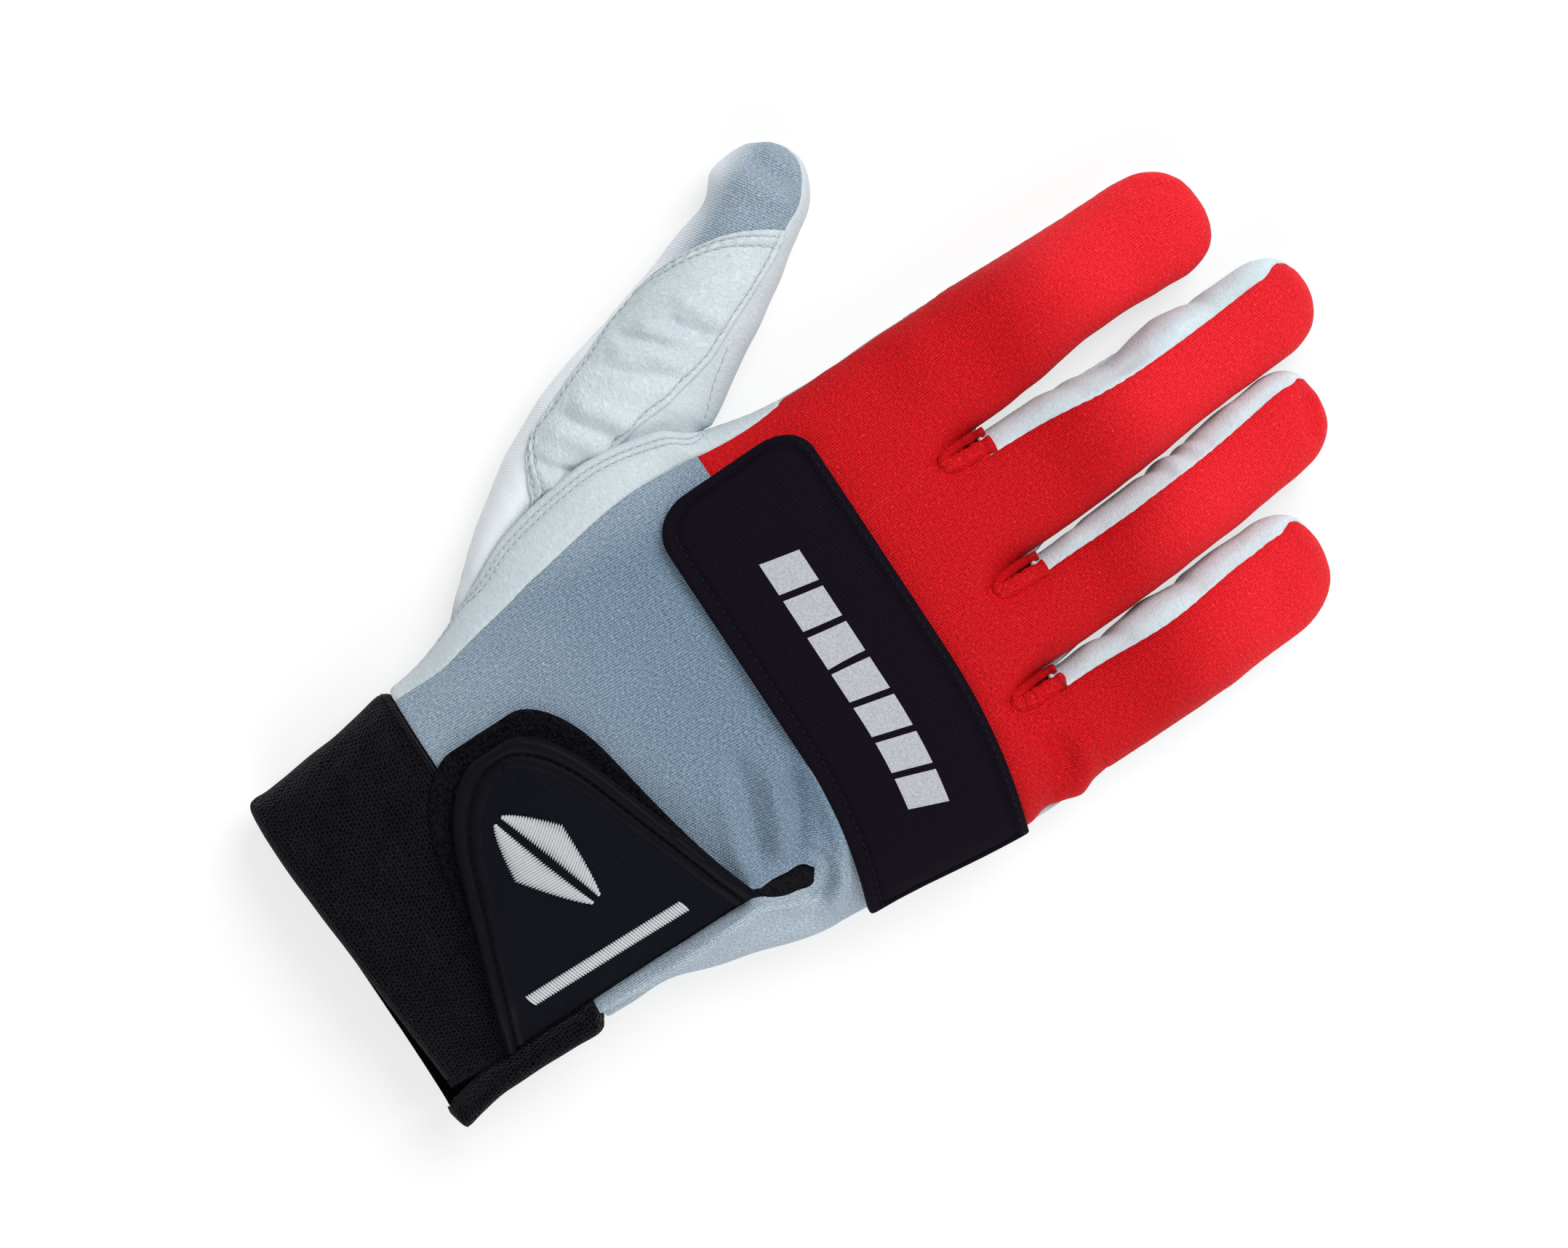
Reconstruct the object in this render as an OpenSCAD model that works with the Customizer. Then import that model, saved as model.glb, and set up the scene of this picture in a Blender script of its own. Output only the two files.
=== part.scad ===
// Right-hand sports glove, lying palm down with the fingers along +Y and the thumb towards -X.
// X = 0 is the middle of the middle finger's root, Y = 0 the middle of the palm, Z = 0 the palm's underside.
// Every cloth or leather panel is a thin closed sheet on one of three hollow shapes:
// the hand with its cuff, the four finger stalls, and the thumb with its base.
// Lengths are in millimetres.

/* [Hand] */
// Reach of the palm towards the thumb, from the middle finger's line
palm_thumb_side = 52; // [48:0.5:56]
// Reach of the palm towards the little finger, from the middle finger's line
palm_little_side = 57; // [54:0.5:62]
// Thickness of the palm from underside to back
palm_depth = 28.5; // [25:0.5:33]
// Thickness over the knuckles
knuckle_depth = 27; // [23:0.5:30]
// Extra reach of the knuckles beyond the finger roots on each side
knuckle_bulge = 0.6; // [0.2:0.1:2]
// Distance of the palm's widest line behind the middle of the palm
palm_line = 18; // [12:1:24]
// Distance of the knuckle line ahead of the middle of the palm
knuckle_line = 22; // [18:1:26]
// Widest part of the leather strip on the thumb side of the back
strip_width = 9.8; // [6:0.2:12]
// Distance of the red and blue panels' seam ahead of the middle of the palm
panel_seam = 5; // [0:0.5:9]

/* [Wrist and cuff] */
// Distance of the wrist seam behind the middle of the palm
wrist_line = 77; // [72:1:84]
// Reach of the wrist towards the thumb
wrist_thumb_side = 37.5; // [34:0.5:40]
// Reach of the wrist towards the little finger
wrist_little_side = 47; // [45:0.5:50]
// Thickness of the wrist
wrist_depth = 24; // [22:0.5:27]
// Length of the elastic cuff
cuff_length = 39; // [34:1:44]
// Reach of the cuff's end towards the thumb
cuff_thumb_side = 32.5; // [30:0.5:36]
// Reach of the cuff's end towards the little finger
cuff_little_side = 47.5; // [45:0.5:50]
// Thickness of the cuff's end
cuff_depth = 21; // [19:0.5:24]
// Height of the wrist's underside above the palm's
wrist_lift = 1.2; // [1:0.1:2]

/* [Fingers] */
// Root width of the index stall
index_width = 28.2; // [25:0.2:31]
// Root width of the middle stall
middle_width = 27.2; // [25:0.2:30]
// Root width of the ring stall
ring_width = 21.2; // [19:0.2:25]
// Root width of the little stall
little_width = 24.5; // [21:0.2:27]
// Width lost by each stall between its root and the start of its tip
finger_taper = 3.6; // [2:0.1:5]
// Space between neighbouring stalls at their roots
finger_gap = 1.2; // [0.8:0.1:2]
// Distance of the index root ahead of the middle of the palm
index_root = 58; // [54:0.5:60]
// Distance of the middle root ahead of the middle of the palm
middle_root = 57; // [54:0.5:60]
// Distance of the ring root ahead of the middle of the palm
ring_root = 52; // [49:0.5:56]
// Distance of the little root ahead of the middle of the palm
little_root = 42; // [38:0.5:46]
// Length of the index stall
index_length = 66.5; // [60:0.5:74]
// Length of the middle stall
middle_length = 77.5; // [70:0.5:86]
// Length of the ring stall
ring_length = 71; // [64:0.5:78]
// Length of the little stall
little_length = 64.3; // [58:0.5:71]
// Sideways lean of the middle stall's tip towards the thumb
middle_lean = 0.9; // [0:0.1:1.4]
// Sideways lean of the ring stall's tip towards the thumb
ring_lean = 4.4; // [2:0.2:4.8]
// Sideways lean of the little stall's tip towards the thumb
little_lean = 3.6; // [1:0.2:4.4]
// Thickness of a stall at its root
finger_root_depth = 20.5; // [18:0.5:22]
// Thickness of a stall at the start of its tip
finger_tip_depth = 15.5; // [13:0.5:17]
// Length of a stall's rounded tip
finger_tip_length = 13; // [10:0.5:16]

/* [Thumb] */
// Angle of the thumb from the fingers' direction, in degrees
thumb_splay = 26; // [22:0.5:30]
// Distance of the thumb's crotch ahead of the middle of the palm
thumb_crotch = 11; // [8:0.5:14]
// Length of the thumb stall from its root to its tip
thumb_length = 58; // [54:0.5:64]
// Root width of the thumb stall
thumb_root_width = 30.4; // [28:0.2:32]
// Width of the thumb stall at its waist
thumb_waist_width = 22; // [20:0.2:24]
// Sideways shift of the thumb's tip away from the hand
thumb_tip_shift = 3; // [1:0.1:4]
// Thickness of the thumb stall at its root
thumb_root_depth = 20; // [18:0.5:22]
// Thickness of the thumb stall at the start of its tip
thumb_tip_depth = 16; // [14:0.5:18]
// Length of the leather overlay on the thumb stall
thumb_overlay_length = 40; // [34:0.5:44]

/* [Knuckle band] */
// Width of the padded band along the hand
band_width = 38; // [32:0.5:42]
// Distance of the band's finger-side edge ahead of the middle of the palm
band_line = 26.5; // [24:0.5:29]
// Distance of the band's rounded end from the middle finger's line
band_reach = 38.5; // [36:0.5:41]
// Radius of the band's rounded corners
band_corner = 10; // [6:0.5:14]
// Fall of the band towards the wrist at the little-finger side
band_fall = 6.5; // [3:0.5:9]
// Thickness of the band
band_t = 2.4; // [1.6:0.1:3.2]

/* [Closure] */
// Distance of the wrist slit from the middle finger's line
slit_x = 40; // [38:0.5:42]
// Distance of the slit's closed end behind the middle of the palm
slit_end = 23; // [20:1:28]
// Width of the open slit
slit_width = 1.4; // [1:0.1:2]
// Reach of the closure tab from the slit to its nose
tab_reach = 56; // [48:0.5:60]
// Distance of the tab's finger-side corner behind the middle of the palm
tab_start = 38.5; // [36:0.5:42]
// Length of the tab's sewn base
tab_base = 59.5; // [54:0.5:62]
// Distance of the tab's nose behind the middle of the palm
tab_nose = 65; // [60:0.5:70]
// Length of the tab's blunt nose
tab_blunt = 17; // [12:0.5:22]
// Margin of the loop patch beyond the tab
patch_margin = 4.5; // [2:0.5:6]
// Margin of the hook pad inside the tab
hook_margin = 5; // [4:0.5:8]
// Thickness of the loop patch
loop_t = 1.4; // [1:0.1:2]
// Thickness of the hook pad
hook_t = 1.1; // [0.8:0.1:1.6]
// Thickness of the tab's face
tab_t = 1.3; // [1:0.1:2]
// Diameter of the piping round the tab
piping_d = 2.6; // [2:0.1:3.2]
// Width of the bound edge of the cuff at the slit
binding_width = 4; // [3:0.2:6]

/* [Materials and clearances] */
// Thickness of the leather
leather_t = 0.9; // [0.7:0.05:1.2]
// Thickness of the stretch knits
knit_t = 1; // [0.7:0.05:1.3]
// Thickness of the cuff elastic
elastic_t = 1.8; // [1.4:0.1:2.4]
// Height of the cuff elastic above the knit beside it
elastic_proud = 0.5; // [0.3:0.1:0.8]
// Diameter of the rolled tucks in the finger crotches
tuck_d = 2; // [1.6:0.1:2.4]
// Gap between sheets sewn edge to edge
seam_gap = 0.3; // [0.2:0.05:0.5]
// Gap between sheets lying on one another
layer_gap = 0.3; // [0.25:0.05:0.5]

/* [Hidden] */
// Half a turn and a whole one, in degrees
half_turn = 180;
full_turn = 360;
// Roundness of the upper and lower halves of the oval sections: two is an ellipse, more is squarer
top_power = 2.3;
low_power = 2.8;
// Share of the thickness below the widest line of a section
mid_share = 0.44;
// How strongly the underside is levelled
level_gain = 1.05;
// Share of a stall's rows before its rounded tip
body_share = 0.62;
// How far out along a stall its lean begins to show: one is a straight lean
lean_power = 1.6;
// Rows of a stall between which its walls' edges close towards the tip's own seam
close_start = 0.7;
close_stop = 0.92;
// Angles of the panels' seams round a finger, from the little-finger side over the back
red_low = -6;
red_inner = 130;
wall_low = 207;
front_low = 330;
// Angles of the panels' seams round the thumb
thumb_front_top = 35;
thumb_front_low = 195;
thumb_overlay_low = 48;
thumb_overlay_high = 152;
// Angles of the thumb base's edges, which leave its hand side open
base_top_edge = 14;
base_low_edge = 340;
base_side = 195;
base_overlay_low = 42;
base_overlay_start = 0.4;
// Angle of the band's edge at the little-finger side
band_edge = 15;
// Spacing of the palm's rows: less than one sets them closer towards the fingers
palm_spacing = 0.8;
// How far the panels are drawn back in a finger crotch, and how much more per step between two roots
crotch_back = 3;
crotch_slant = 0.9;
// Height left of the palm's edge along the thumb's way, and the share of the palm's width it falls over
way_edge = 0.36;
way_width = 0.16;

red = [0.78, 0.05, 0.08];
blue_grey = [0.47, 0.54, 0.66];
white_leather = [0.9, 0.91, 0.94];
black = [0.06, 0.06, 0.07];
navy = [0.08, 0.09, 0.13];
satin = [0.1, 0.1, 0.13];

// General functions
function clamp(t, low, high) = min(high, max(low, t));
function mix(a, b, t) = a + (b - a) * t;
function ease(t) = let (c = clamp(t, 0, 1)) c * c * (3 - 2 * c);

// Slope of column k of a list of rows at row i
function row_slope(rows, i, k) =
    let (a = rows[max(0, i - 1)], b = rows[min(len(rows) - 1, i + 1)])
    (b[k] - a[k]) / (b[0] - a[0]);

// Smooth value of column k at position t, through every row
function smooth_at(rows, t, k) =
    let (
        last = len(rows) - 1,
        c = clamp(t, rows[0][0], rows[last][0]),
        i = max([for (j = [0:last - 1]) if (rows[j][0] <= c) j]),
        step = rows[i + 1][0] - rows[i][0],
        f = (c - rows[i][0]) / step,
        slope_a = row_slope(rows, i, k) * step,
        slope_b = row_slope(rows, i + 1, k) * step
    )
    rows[i][k] * (2 * f * f * f - 3 * f * f + 1) + slope_a * (f * f * f - 2 * f * f + f)
    + rows[i + 1][k] * (3 * f * f - 2 * f * f * f) + slope_b * (f * f * f - f * f);

// Point of a smooth curve through its start and end, drawn towards two handles
function curve_at(a, handle_a, handle_b, b, t) =
    a * pow(1 - t, 3) + handle_a * 3 * t * pow(1 - t, 2) + handle_b * 3 * t * t * (1 - t) + b * pow(t, 3);

// Share of a half width and of a half height at an angle round an oval section
function across(phi, power) = sign(cos(phi)) * pow(abs(cos(phi)), 2 / power);
function rise(phi, power) = sign(sin(phi)) * pow(abs(sin(phi)), 2 / power);

// Point round an oval section given by its two side points, its underside's height and its thickness.
// Inset moves the point inwards, and the underside is levelled where it lies on the ground.
function on_section(left, right, low, depth, phi, inset) =
    let (
        half = norm(right - left) / 2,
        dir = (right - left) / (2 * half),
        mid = depth * mid_share,
        upper = sin(phi) >= 0,
        power = upper ? top_power : low_power,
        reach = (half - inset) * across(phi, power),
        up = upper ? rise(phi, power) : max(-1, level_gain * rise(phi, power)),
        height = (upper ? depth - mid - inset : mid - inset) * up,
        flat = (left + right) / 2 + dir * reach
    )
    [flat[0], flat[1], low + mid + height];

// Closed thin sheet over a grid of points: skin(u, v, side) gives the outside for side 0 and the inside for 1.
// A sheet that runs to a point at its far end has pole set.
module sheet(skin, nu, nv, pole = false) {
    row = nu + 1;
    layer = row * (nv + 1);
    end = pole ? nv - 1 : nv;
    pts = [for (side = [0, 1], j = [0:nv], i = [0:nu]) skin(i / nu, j / nv, side)];
    function at(side, i, j) = side * layer + j * row + (pole && j == nv ? 0 : i);
    skins = [for (j = [0:end - 1], i = [0:nu - 1]) each [
        [at(0, i, j), at(0, i, j + 1), at(0, i + 1, j + 1)],
        [at(0, i, j), at(0, i + 1, j + 1), at(0, i + 1, j)],
        [at(1, i, j), at(1, i + 1, j + 1), at(1, i, j + 1)],
        [at(1, i, j), at(1, i + 1, j), at(1, i + 1, j + 1)]]];
    tips = !pole ? [] : [for (i = [0:nu - 1]) each [
        [at(0, i, end), at(0, i, nv), at(0, i + 1, end)],
        [at(1, i, end), at(1, i + 1, end), at(1, i, nv)]]];
    sides = [for (j = [0:nv - 1]) each [
        [at(0, 0, j), at(1, 0, j), at(1, 0, j + 1)],
        [at(0, 0, j), at(1, 0, j + 1), at(0, 0, j + 1)],
        [at(0, nu, j), at(1, nu, j + 1), at(1, nu, j)],
        [at(0, nu, j), at(0, nu, j + 1), at(1, nu, j + 1)]]];
    starts = [for (i = [0:nu - 1]) each [
        [at(0, i, 0), at(1, i + 1, 0), at(1, i, 0)],
        [at(0, i, 0), at(0, i + 1, 0), at(1, i + 1, 0)]]];
    ends = pole ? [] : [for (i = [0:nu - 1]) each [
        [at(0, i, nv), at(1, i, nv), at(1, i + 1, nv)],
        [at(0, i, nv), at(1, i + 1, nv), at(0, i + 1, nv)]]];
    polyhedron(pts, concat(skins, tips, sides, starts, ends), convexity = 8);
}

// Round cord along a list of points, each with its own ring
module cord(path, d, sides) {
    last = len(path) - 1;
    function along(i) = let (v = path[min(last, i + 1)] - path[max(0, i - 1)]) v / norm(v);
    function ring(i) =
        let (
            t = along(i),
            flat = cross(t, [0, 0, 1]),
            s = flat / norm(flat),
            n = cross(s, t)
        )
        [for (k = [0:sides - 1])
            let (a = full_turn * k / sides)
            path[i] + (s * cos(a) + n * sin(a)) * d / 2];
    pts = [for (i = [0:last]) each ring(i)];
    skins = [for (i = [0:last - 1], k = [0:sides - 1])
        let (m = (k + 1) % sides)
        each [[i * sides + k, i * sides + m, (i + 1) * sides + m],
            [i * sides + k, (i + 1) * sides + m, (i + 1) * sides + k]]];
    cap_a = [for (k = [sides - 1:-1:0]) k];
    cap_b = [for (k = [0:sides - 1]) last * sides + k];
    polyhedron(pts, concat(skins, [cap_a], [cap_b]), convexity = 8);
}

// Finger stalls: root line, length, left and right sides at the root, lean of the tip
index_left = -middle_width / 2 - finger_gap - index_width;
ring_left = middle_width / 2 + finger_gap;
little_left = ring_left + ring_width + finger_gap;
row_left = index_left;
row_right = little_left + little_width;
index = [index_root, index_length, index_left, index_left + index_width, 0];
middle = [middle_root, middle_length, -middle_width / 2, middle_width / 2, middle_lean];
ring = [ring_root, ring_length, ring_left, ring_left + ring_width, ring_lean];
little = [little_root, little_length, little_left, row_right, little_lean];
stalls = [index, middle, ring, little];

// Row of a stall: distance from its root without the tip's rounding, and the angle over the tip
function stall_body(length, tip, v) = (length - tip) * clamp(v / body_share, 0, 1);
function stall_turn(v) = 90 * clamp((v - body_share) / (1 - body_share), 0, 1);

// Point on a finger stall, v running from the root to the tip
function finger_point(f, phi, v, inset, lift) =
    let (
        body = stall_body(f[1], finger_tip_length, v),
        turn = stall_turn(v),
        part = body / (f[1] - finger_tip_length),
        half = (f[3] - f[2] - finger_taper * part) / 2,
        depth = mix(finger_root_depth, finger_tip_depth, part),
        mid = depth * mid_share,
        centre = (f[2] + f[3]) / 2 - f[4] * pow(part, lean_power),
        y = f[0] + body + (finger_tip_length - inset) * sin(turn),
        s = on_section([centre - half, y], [centre + half, y], 0, depth, phi, inset),
        small = cos(turn)
    )
    [centre + (s[0] - centre) * small, y, mid + (s[2] - mid) * small + lift];

// Angle that half a seam gap takes round a stall
stall_gap = seam_gap / finger_root_depth * 90;
// How far a wall's edges have closed towards the tip's own seam
function tip_close(v) = ease((v - close_start) / (close_stop - close_start));
function red_edge(v) = mix(red_inner, half_turn, tip_close(v));
function wall_edge(v) = mix(wall_low, half_turn, tip_close(v));
function outer_red_edge(v) = mix(red_low, 0, tip_close(v));
function outer_front_edge(v) = mix(front_low, full_turn, tip_close(v));
// Share of a stall's rows that a side wall reaches
wall_reach = 0.9;
// First row of a stall, one seam gap beyond its root line
function first_row(length, tip) = body_share * seam_gap / (length - tip);
function finger_row(f, v) = mix(first_row(f[1], finger_tip_length), 1, v);
function wall_row(f, v) = mix(first_row(f[1], finger_tip_length), wall_reach, v);

// Red back of a stall between its two edge angles at each row
module finger_back(f, inner_wall, outer_wall) {
    sheet(function (u, v, side)
        let (
            high = (inner_wall ? red_edge(v) : half_turn) - stall_gap,
            low = (outer_wall ? outer_red_edge(v) : 0) + stall_gap
        )
        finger_point(f, mix(high, low, u), finger_row(f, v), side * knit_t, seam_gap),
        9, 11, true);
}

// Leather front of a stall
module finger_front(f, inner_wall, outer_wall) {
    sheet(function (u, v, side)
        let (
            high = (outer_wall ? outer_front_edge(v) : full_turn) - stall_gap,
            low = (inner_wall ? wall_edge(v) : half_turn) + stall_gap
        )
        finger_point(f, mix(high, low, u), finger_row(f, v), side * leather_t, 0),
        8, 11, true);
}

// Leather wall on the thumb side of a stall
module inner_wall(f) {
    sheet(function (u, v, side)
        let (w = wall_row(f, v))
        finger_point(f, mix(wall_edge(w) - stall_gap, red_edge(w) + stall_gap, u), w,
            side * leather_t, seam_gap / 2),
        4, 11);
}

// Leather wall on the little-finger side of a stall
module outer_wall(f) {
    sheet(function (u, v, side)
        let (w = wall_row(f, v))
        finger_point(f, mix(full_turn + outer_red_edge(w) - stall_gap, outer_front_edge(w) + stall_gap, u),
            w, side * leather_t, seam_gap / 2),
        2, 11);
}

// Hand and cuff: position along Y, reach on each side, thickness
hand_rows = [
    [-wrist_line - cuff_length, -cuff_thumb_side, cuff_little_side, cuff_depth],
    [-wrist_line, -wrist_thumb_side, wrist_little_side, wrist_depth],
    [-palm_line, -palm_thumb_side, palm_little_side, palm_depth],
    [knuckle_line, row_left - knuckle_bulge, row_right + knuckle_bulge, knuckle_depth],
    [index_root, row_left, row_right, finger_root_depth]];
function hand_left(y) = smooth_at(hand_rows, y, 1);
function hand_right(y) = smooth_at(hand_rows, y, 2);
function hand_depth(y) = smooth_at(hand_rows, y, 3);
function hand_low(y) = wrist_lift * ease((-palm_line - y) / (wrist_line - palm_line));
function hand_point(phi, y, inset) =
    on_section([hand_left(y), y], [hand_right(y), y], hand_low(y), hand_depth(y), phi, inset);
// Angle round the hand's section at which its back or underside stands at x
function hand_angle(x, y, power, inset) =
    let (
        centre = (hand_left(y) + hand_right(y)) / 2,
        half = (hand_right(y) - hand_left(y)) / 2 - inset,
        share = clamp((x - centre) / half, -1, 1)
    )
    acos(sign(share) * pow(abs(share), power / 2));
function back_point(x, y, inset) = hand_point(hand_angle(x, y, top_power, inset), y, inset);
function under_point(x, y, inset) = hand_point(-hand_angle(x, y, low_power, inset), y, inset);

// Edge of the blue and red panels beside the leather strip
strip_start = -wrist_line;
strip_stop = knuckle_line;
strip_least = 1.2;
function strip_at(y) =
    strip_least
    + (strip_width - strip_least)
    * sin(half_turn * clamp((y - strip_start) / (strip_stop - strip_start), 0, 1));
function panel_left(y) = hand_left(y) + strip_at(y);

// Knuckle zone: the hand's section turns into the four stalls' sections
zone_start = band_line - 6;
function zone_part(f, y) = ease((y - zone_start) / (f[0] - zone_start));

// Column k of the four stalls in a row, as its stall and the angle round it, over the back or under the palm
columns = 8;
function stall_of(k) = stalls[floor(k / (columns + 1))];
function angle_of(k) = half_turn * (1 - (k % (columns + 1)) / columns);
// Far end of column k: the stall's root line, drawn back in the crotch beside the stall before it
function column_end(k) =
    let (root = stall_of(k)[0], before = stall_of(max(0, k - 1))[0])
    root - (k > 0 && angle_of(k) == half_turn ? crotch_back + crotch_slant * max(0, before - root) : 0);
last_column = 4 * (columns + 1) - 1;
function row_share(k, power, inset) =
    let (
        f = stall_of(k),
        centre = (f[2] + f[3]) / 2,
        x = centre + ((f[3] - f[2]) / 2 - inset) * across(angle_of(k), power)
    )
    (x - row_left - inset) / (row_right - row_left - 2 * inset);

// Point of the back over column k at y, between the panel's left edge and the hand's right side
function knuckle_back(k, y, inset) =
    let (
        f = stall_of(k),
        part = zone_part(f, y),
        left = mix(panel_left(y), hand_left(y), part) + inset,
        x = mix(left, hand_right(y) - inset, row_share(k, top_power, inset)),
        own = on_section([f[2], y], [f[3], y], 0, finger_root_depth, angle_of(k), inset)
    )
    [mix(x, own[0], part), y, mix(back_point(x, y, inset)[2], own[2], part) + seam_gap];

// How far the palm's thumb-side edge is lowered at y to leave the way into the thumb open
function thumb_way(y) =
    sqrt(max(0, sin(half_turn * clamp((y - base_start) / (thumb_crotch - base_start), 0, 1))));
function way_drop(y, share) = mix(1, way_edge, thumb_way(y) * ease(1 - share / way_width));

// Point of the palm under column k at y
function palm_under(k, y, inset) =
    let (
        f = stall_of(k),
        part = zone_part(f, y),
        share = row_share(k, low_power, inset),
        x = mix(hand_left(y) + inset, hand_right(y) - inset, share),
        own = on_section([f[2], y], [f[3], y], 0, finger_root_depth, -angle_of(k), inset),
        drop = way_drop(y, share),
        z = inset + (under_point(x, y, inset)[2] - inset) * drop
    )
    [mix(x, own[0], part), y, mix(z, own[2], part)];

// Thumb: its root ring lies across the stall's own direction, beside the hand's edge at the crotch
thumb_across = [cos(thumb_splay), sin(thumb_splay)];
thumb_along = [-sin(thumb_splay), cos(thumb_splay)];
thumb_ring_right = [hand_left(thumb_crotch) - seam_gap, thumb_crotch];
thumb_ring_centre = thumb_ring_right - thumb_across * thumb_root_width / 2;
thumb_ring_left = thumb_ring_right - thumb_across * thumb_root_width;
thumb_tip_length = 12;
thumb_waist = 36;
// Distance along the thumb, shift towards the hand, width
thumb_rows = [
    [0, 0, thumb_root_width],
    [thumb_waist / 2, 0, mix(thumb_root_width, thumb_waist_width, 0.6)],
    [thumb_waist, -thumb_tip_shift / 6, thumb_waist_width],
    [thumb_length - thumb_tip_length, -thumb_tip_shift, thumb_waist_width]];

// Point on the thumb stall, v running from the root to the tip
function thumb_point(phi, v, inset, lift) =
    let (
        body = stall_body(thumb_length, thumb_tip_length, v),
        turn = stall_turn(v),
        part = body / (thumb_length - thumb_tip_length),
        half = smooth_at(thumb_rows, body, 2) / 2,
        shift = smooth_at(thumb_rows, body, 1),
        depth = mix(thumb_root_depth, thumb_tip_depth, part),
        mid = depth * mid_share,
        d = body + (thumb_tip_length - inset) * sin(turn),
        s = on_section([-half, 0], [half, 0], 0, depth, phi, inset),
        flat = thumb_ring_centre + thumb_along * d + thumb_across * (shift + s[0] * cos(turn))
    )
    [flat[0], flat[1], mid + (s[2] - mid) * cos(turn) + lift];

// Thumb base: from a narrow start beside the wrist to the thumb's root ring
base_start = -56;
base_least_width = 3.4;
base_start_depth = 13;
base_right_start = [hand_left(base_start) - seam_gap, base_start];
base_left_start = base_right_start - [base_least_width, 2];
base_handle_a = base_left_start + [-6, 10.5];
base_handle_b = thumb_ring_left - thumb_along * 26 + thumb_across * -5.5;
function base_right(v) = let (y = mix(base_start, thumb_crotch, v)) [hand_left(y) - seam_gap, y];
function base_left(v) = curve_at(base_left_start, base_handle_a, base_handle_b, thumb_ring_left, v);
function base_point(phi, v, inset, lift) =
    let (
        depth = mix(base_start_depth, thumb_root_depth, ease(v)),
        s = on_section(base_left(v), base_right(v), 0, depth, phi, inset)
    )
    [s[0], s[1], s[2] + lift];
// Angle that half a seam gap takes round the thumb
thumb_gap = seam_gap / thumb_root_depth * 90;
// Last row of the thumb base before the gap at the root ring
base_last = 1 - seam_gap / (thumb_crotch - base_start);
// First row of the thumb stall after that gap
thumb_first = first_row(thumb_length, thumb_tip_length);

// Palm and back of the hand
module palm() {
    color(white_leather)
    sheet(function (u, v, side)
        let (
            k = round((1 - u) * last_column),
            y = mix(-wrist_line + seam_gap, column_end(k), pow(v, palm_spacing))
        )
        palm_under(k, y, side * leather_t),
        last_column, 9);
}

module radial_strip() {
    color(white_leather)
    sheet(function (u, v, side)
        let (
            y = mix(strip_start + seam_gap, strip_stop, v),
            inset = side * leather_t,
            edge = hand_angle(panel_left(y) - seam_gap, y, top_power, inset),
            p = hand_point(mix(half_turn, edge, u), y, inset)
        )
        [p[0], p[1], p[2] + seam_gap],
        3, 12);
}

module hand_back() {
    color(blue_grey)
    sheet(function (u, v, side)
        let (
            y = mix(-wrist_line + seam_gap, panel_seam - seam_gap, v),
            inset = side * knit_t,
            left = hand_angle(panel_left(y), y, top_power, inset),
            right = hand_angle(slit_x - slit_width / 2, y, top_power, inset)
        )
        hand_point(mix(left, right, u), y, inset),
        12, 10);
}

module ulnar_panel() {
    color(blue_grey)
    sheet(function (u, v, side)
        let (
            y = mix(-wrist_line + seam_gap, panel_seam - seam_gap, v),
            inset = side * knit_t,
            closed = ease((y + slit_end) / 6),
            lip = mix(slit_width / 2, seam_gap - slit_width / 2, closed),
            left = hand_angle(slit_x + lip, y, top_power, inset),
            p = hand_point(mix(left, 0, u), y, inset)
        )
        [p[0], p[1], p[2] + seam_gap],
        5, 10);
}

module knuckle_panel() {
    color(red)
    sheet(function (u, v, side)
        let (
            k = round(u * last_column),
            y = mix(panel_seam, column_end(k), v)
        )
        knuckle_back(k, y, side * knit_t),
        last_column, 6);
}

// Band over the seam of the red and blue panels, following the back
function band_top(x) = band_line - band_fall * ease((x - 10) / 55);
function band_rounding(x) =
    let (near = clamp(band_corner - (x + band_reach), 0, band_corner))
    band_corner - sqrt(band_corner * band_corner - near * near);
// Height of the band's underside above the hand's section, clear of the panels' own lift
band_seat = layer_gap + seam_gap;

module knuckle_band() {
    color(black)
    sheet(function (u, v, side)
        let (
            inset = -band_seat - (1 - side) * band_t,
            x = mix(-band_reach, hand_right(0), u),
            cut = band_rounding(x),
            y = mix(band_top(x) - band_width + cut, band_top(x) - cut, v)
        )
        hand_point(mix(hand_angle(-band_reach, y, top_power, inset), band_edge, u), y, inset),
        18, 6);
}

// Rolled tucks over the finger crotches
tuck_half = 2.2;
tuck_length = 8;
tuck_shift = 1;
// Height of the knuckle panel at x and y, taken from the two columns beside it
function panel_height(x, y) =
    let (
        near = [for (k = [0:last_column]) if (knuckle_back(k, y, 0)[0] <= x) k],
        k = min(last_column - 1, max(near)),
        a = knuckle_back(k, y, 0),
        b = knuckle_back(k + 1, y, 0)
    )
    mix(a[2], b[2], clamp((x - a[0]) / (b[0] - a[0]), 0, 1));
function tuck_point(x, y) =
    [x, y, max([for (side = [-1:0.5:1]) panel_height(x + side * tuck_d / 2, y)]) + tuck_d / 2 + layer_gap];
module crotch_tucks() {
    color(red)
    for (pair = [[index, middle], [middle, ring], [ring, little]]) {
        x = pair[1][2] + tuck_shift;
        y = min(pair[0][0], pair[1][0]) - tuck_d;
        cord([for (a = [0:30:half_turn])
            tuck_point(x + tuck_half * cos(a), y - tuck_length * sin(a))], tuck_d, 6);
    }
}

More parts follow.
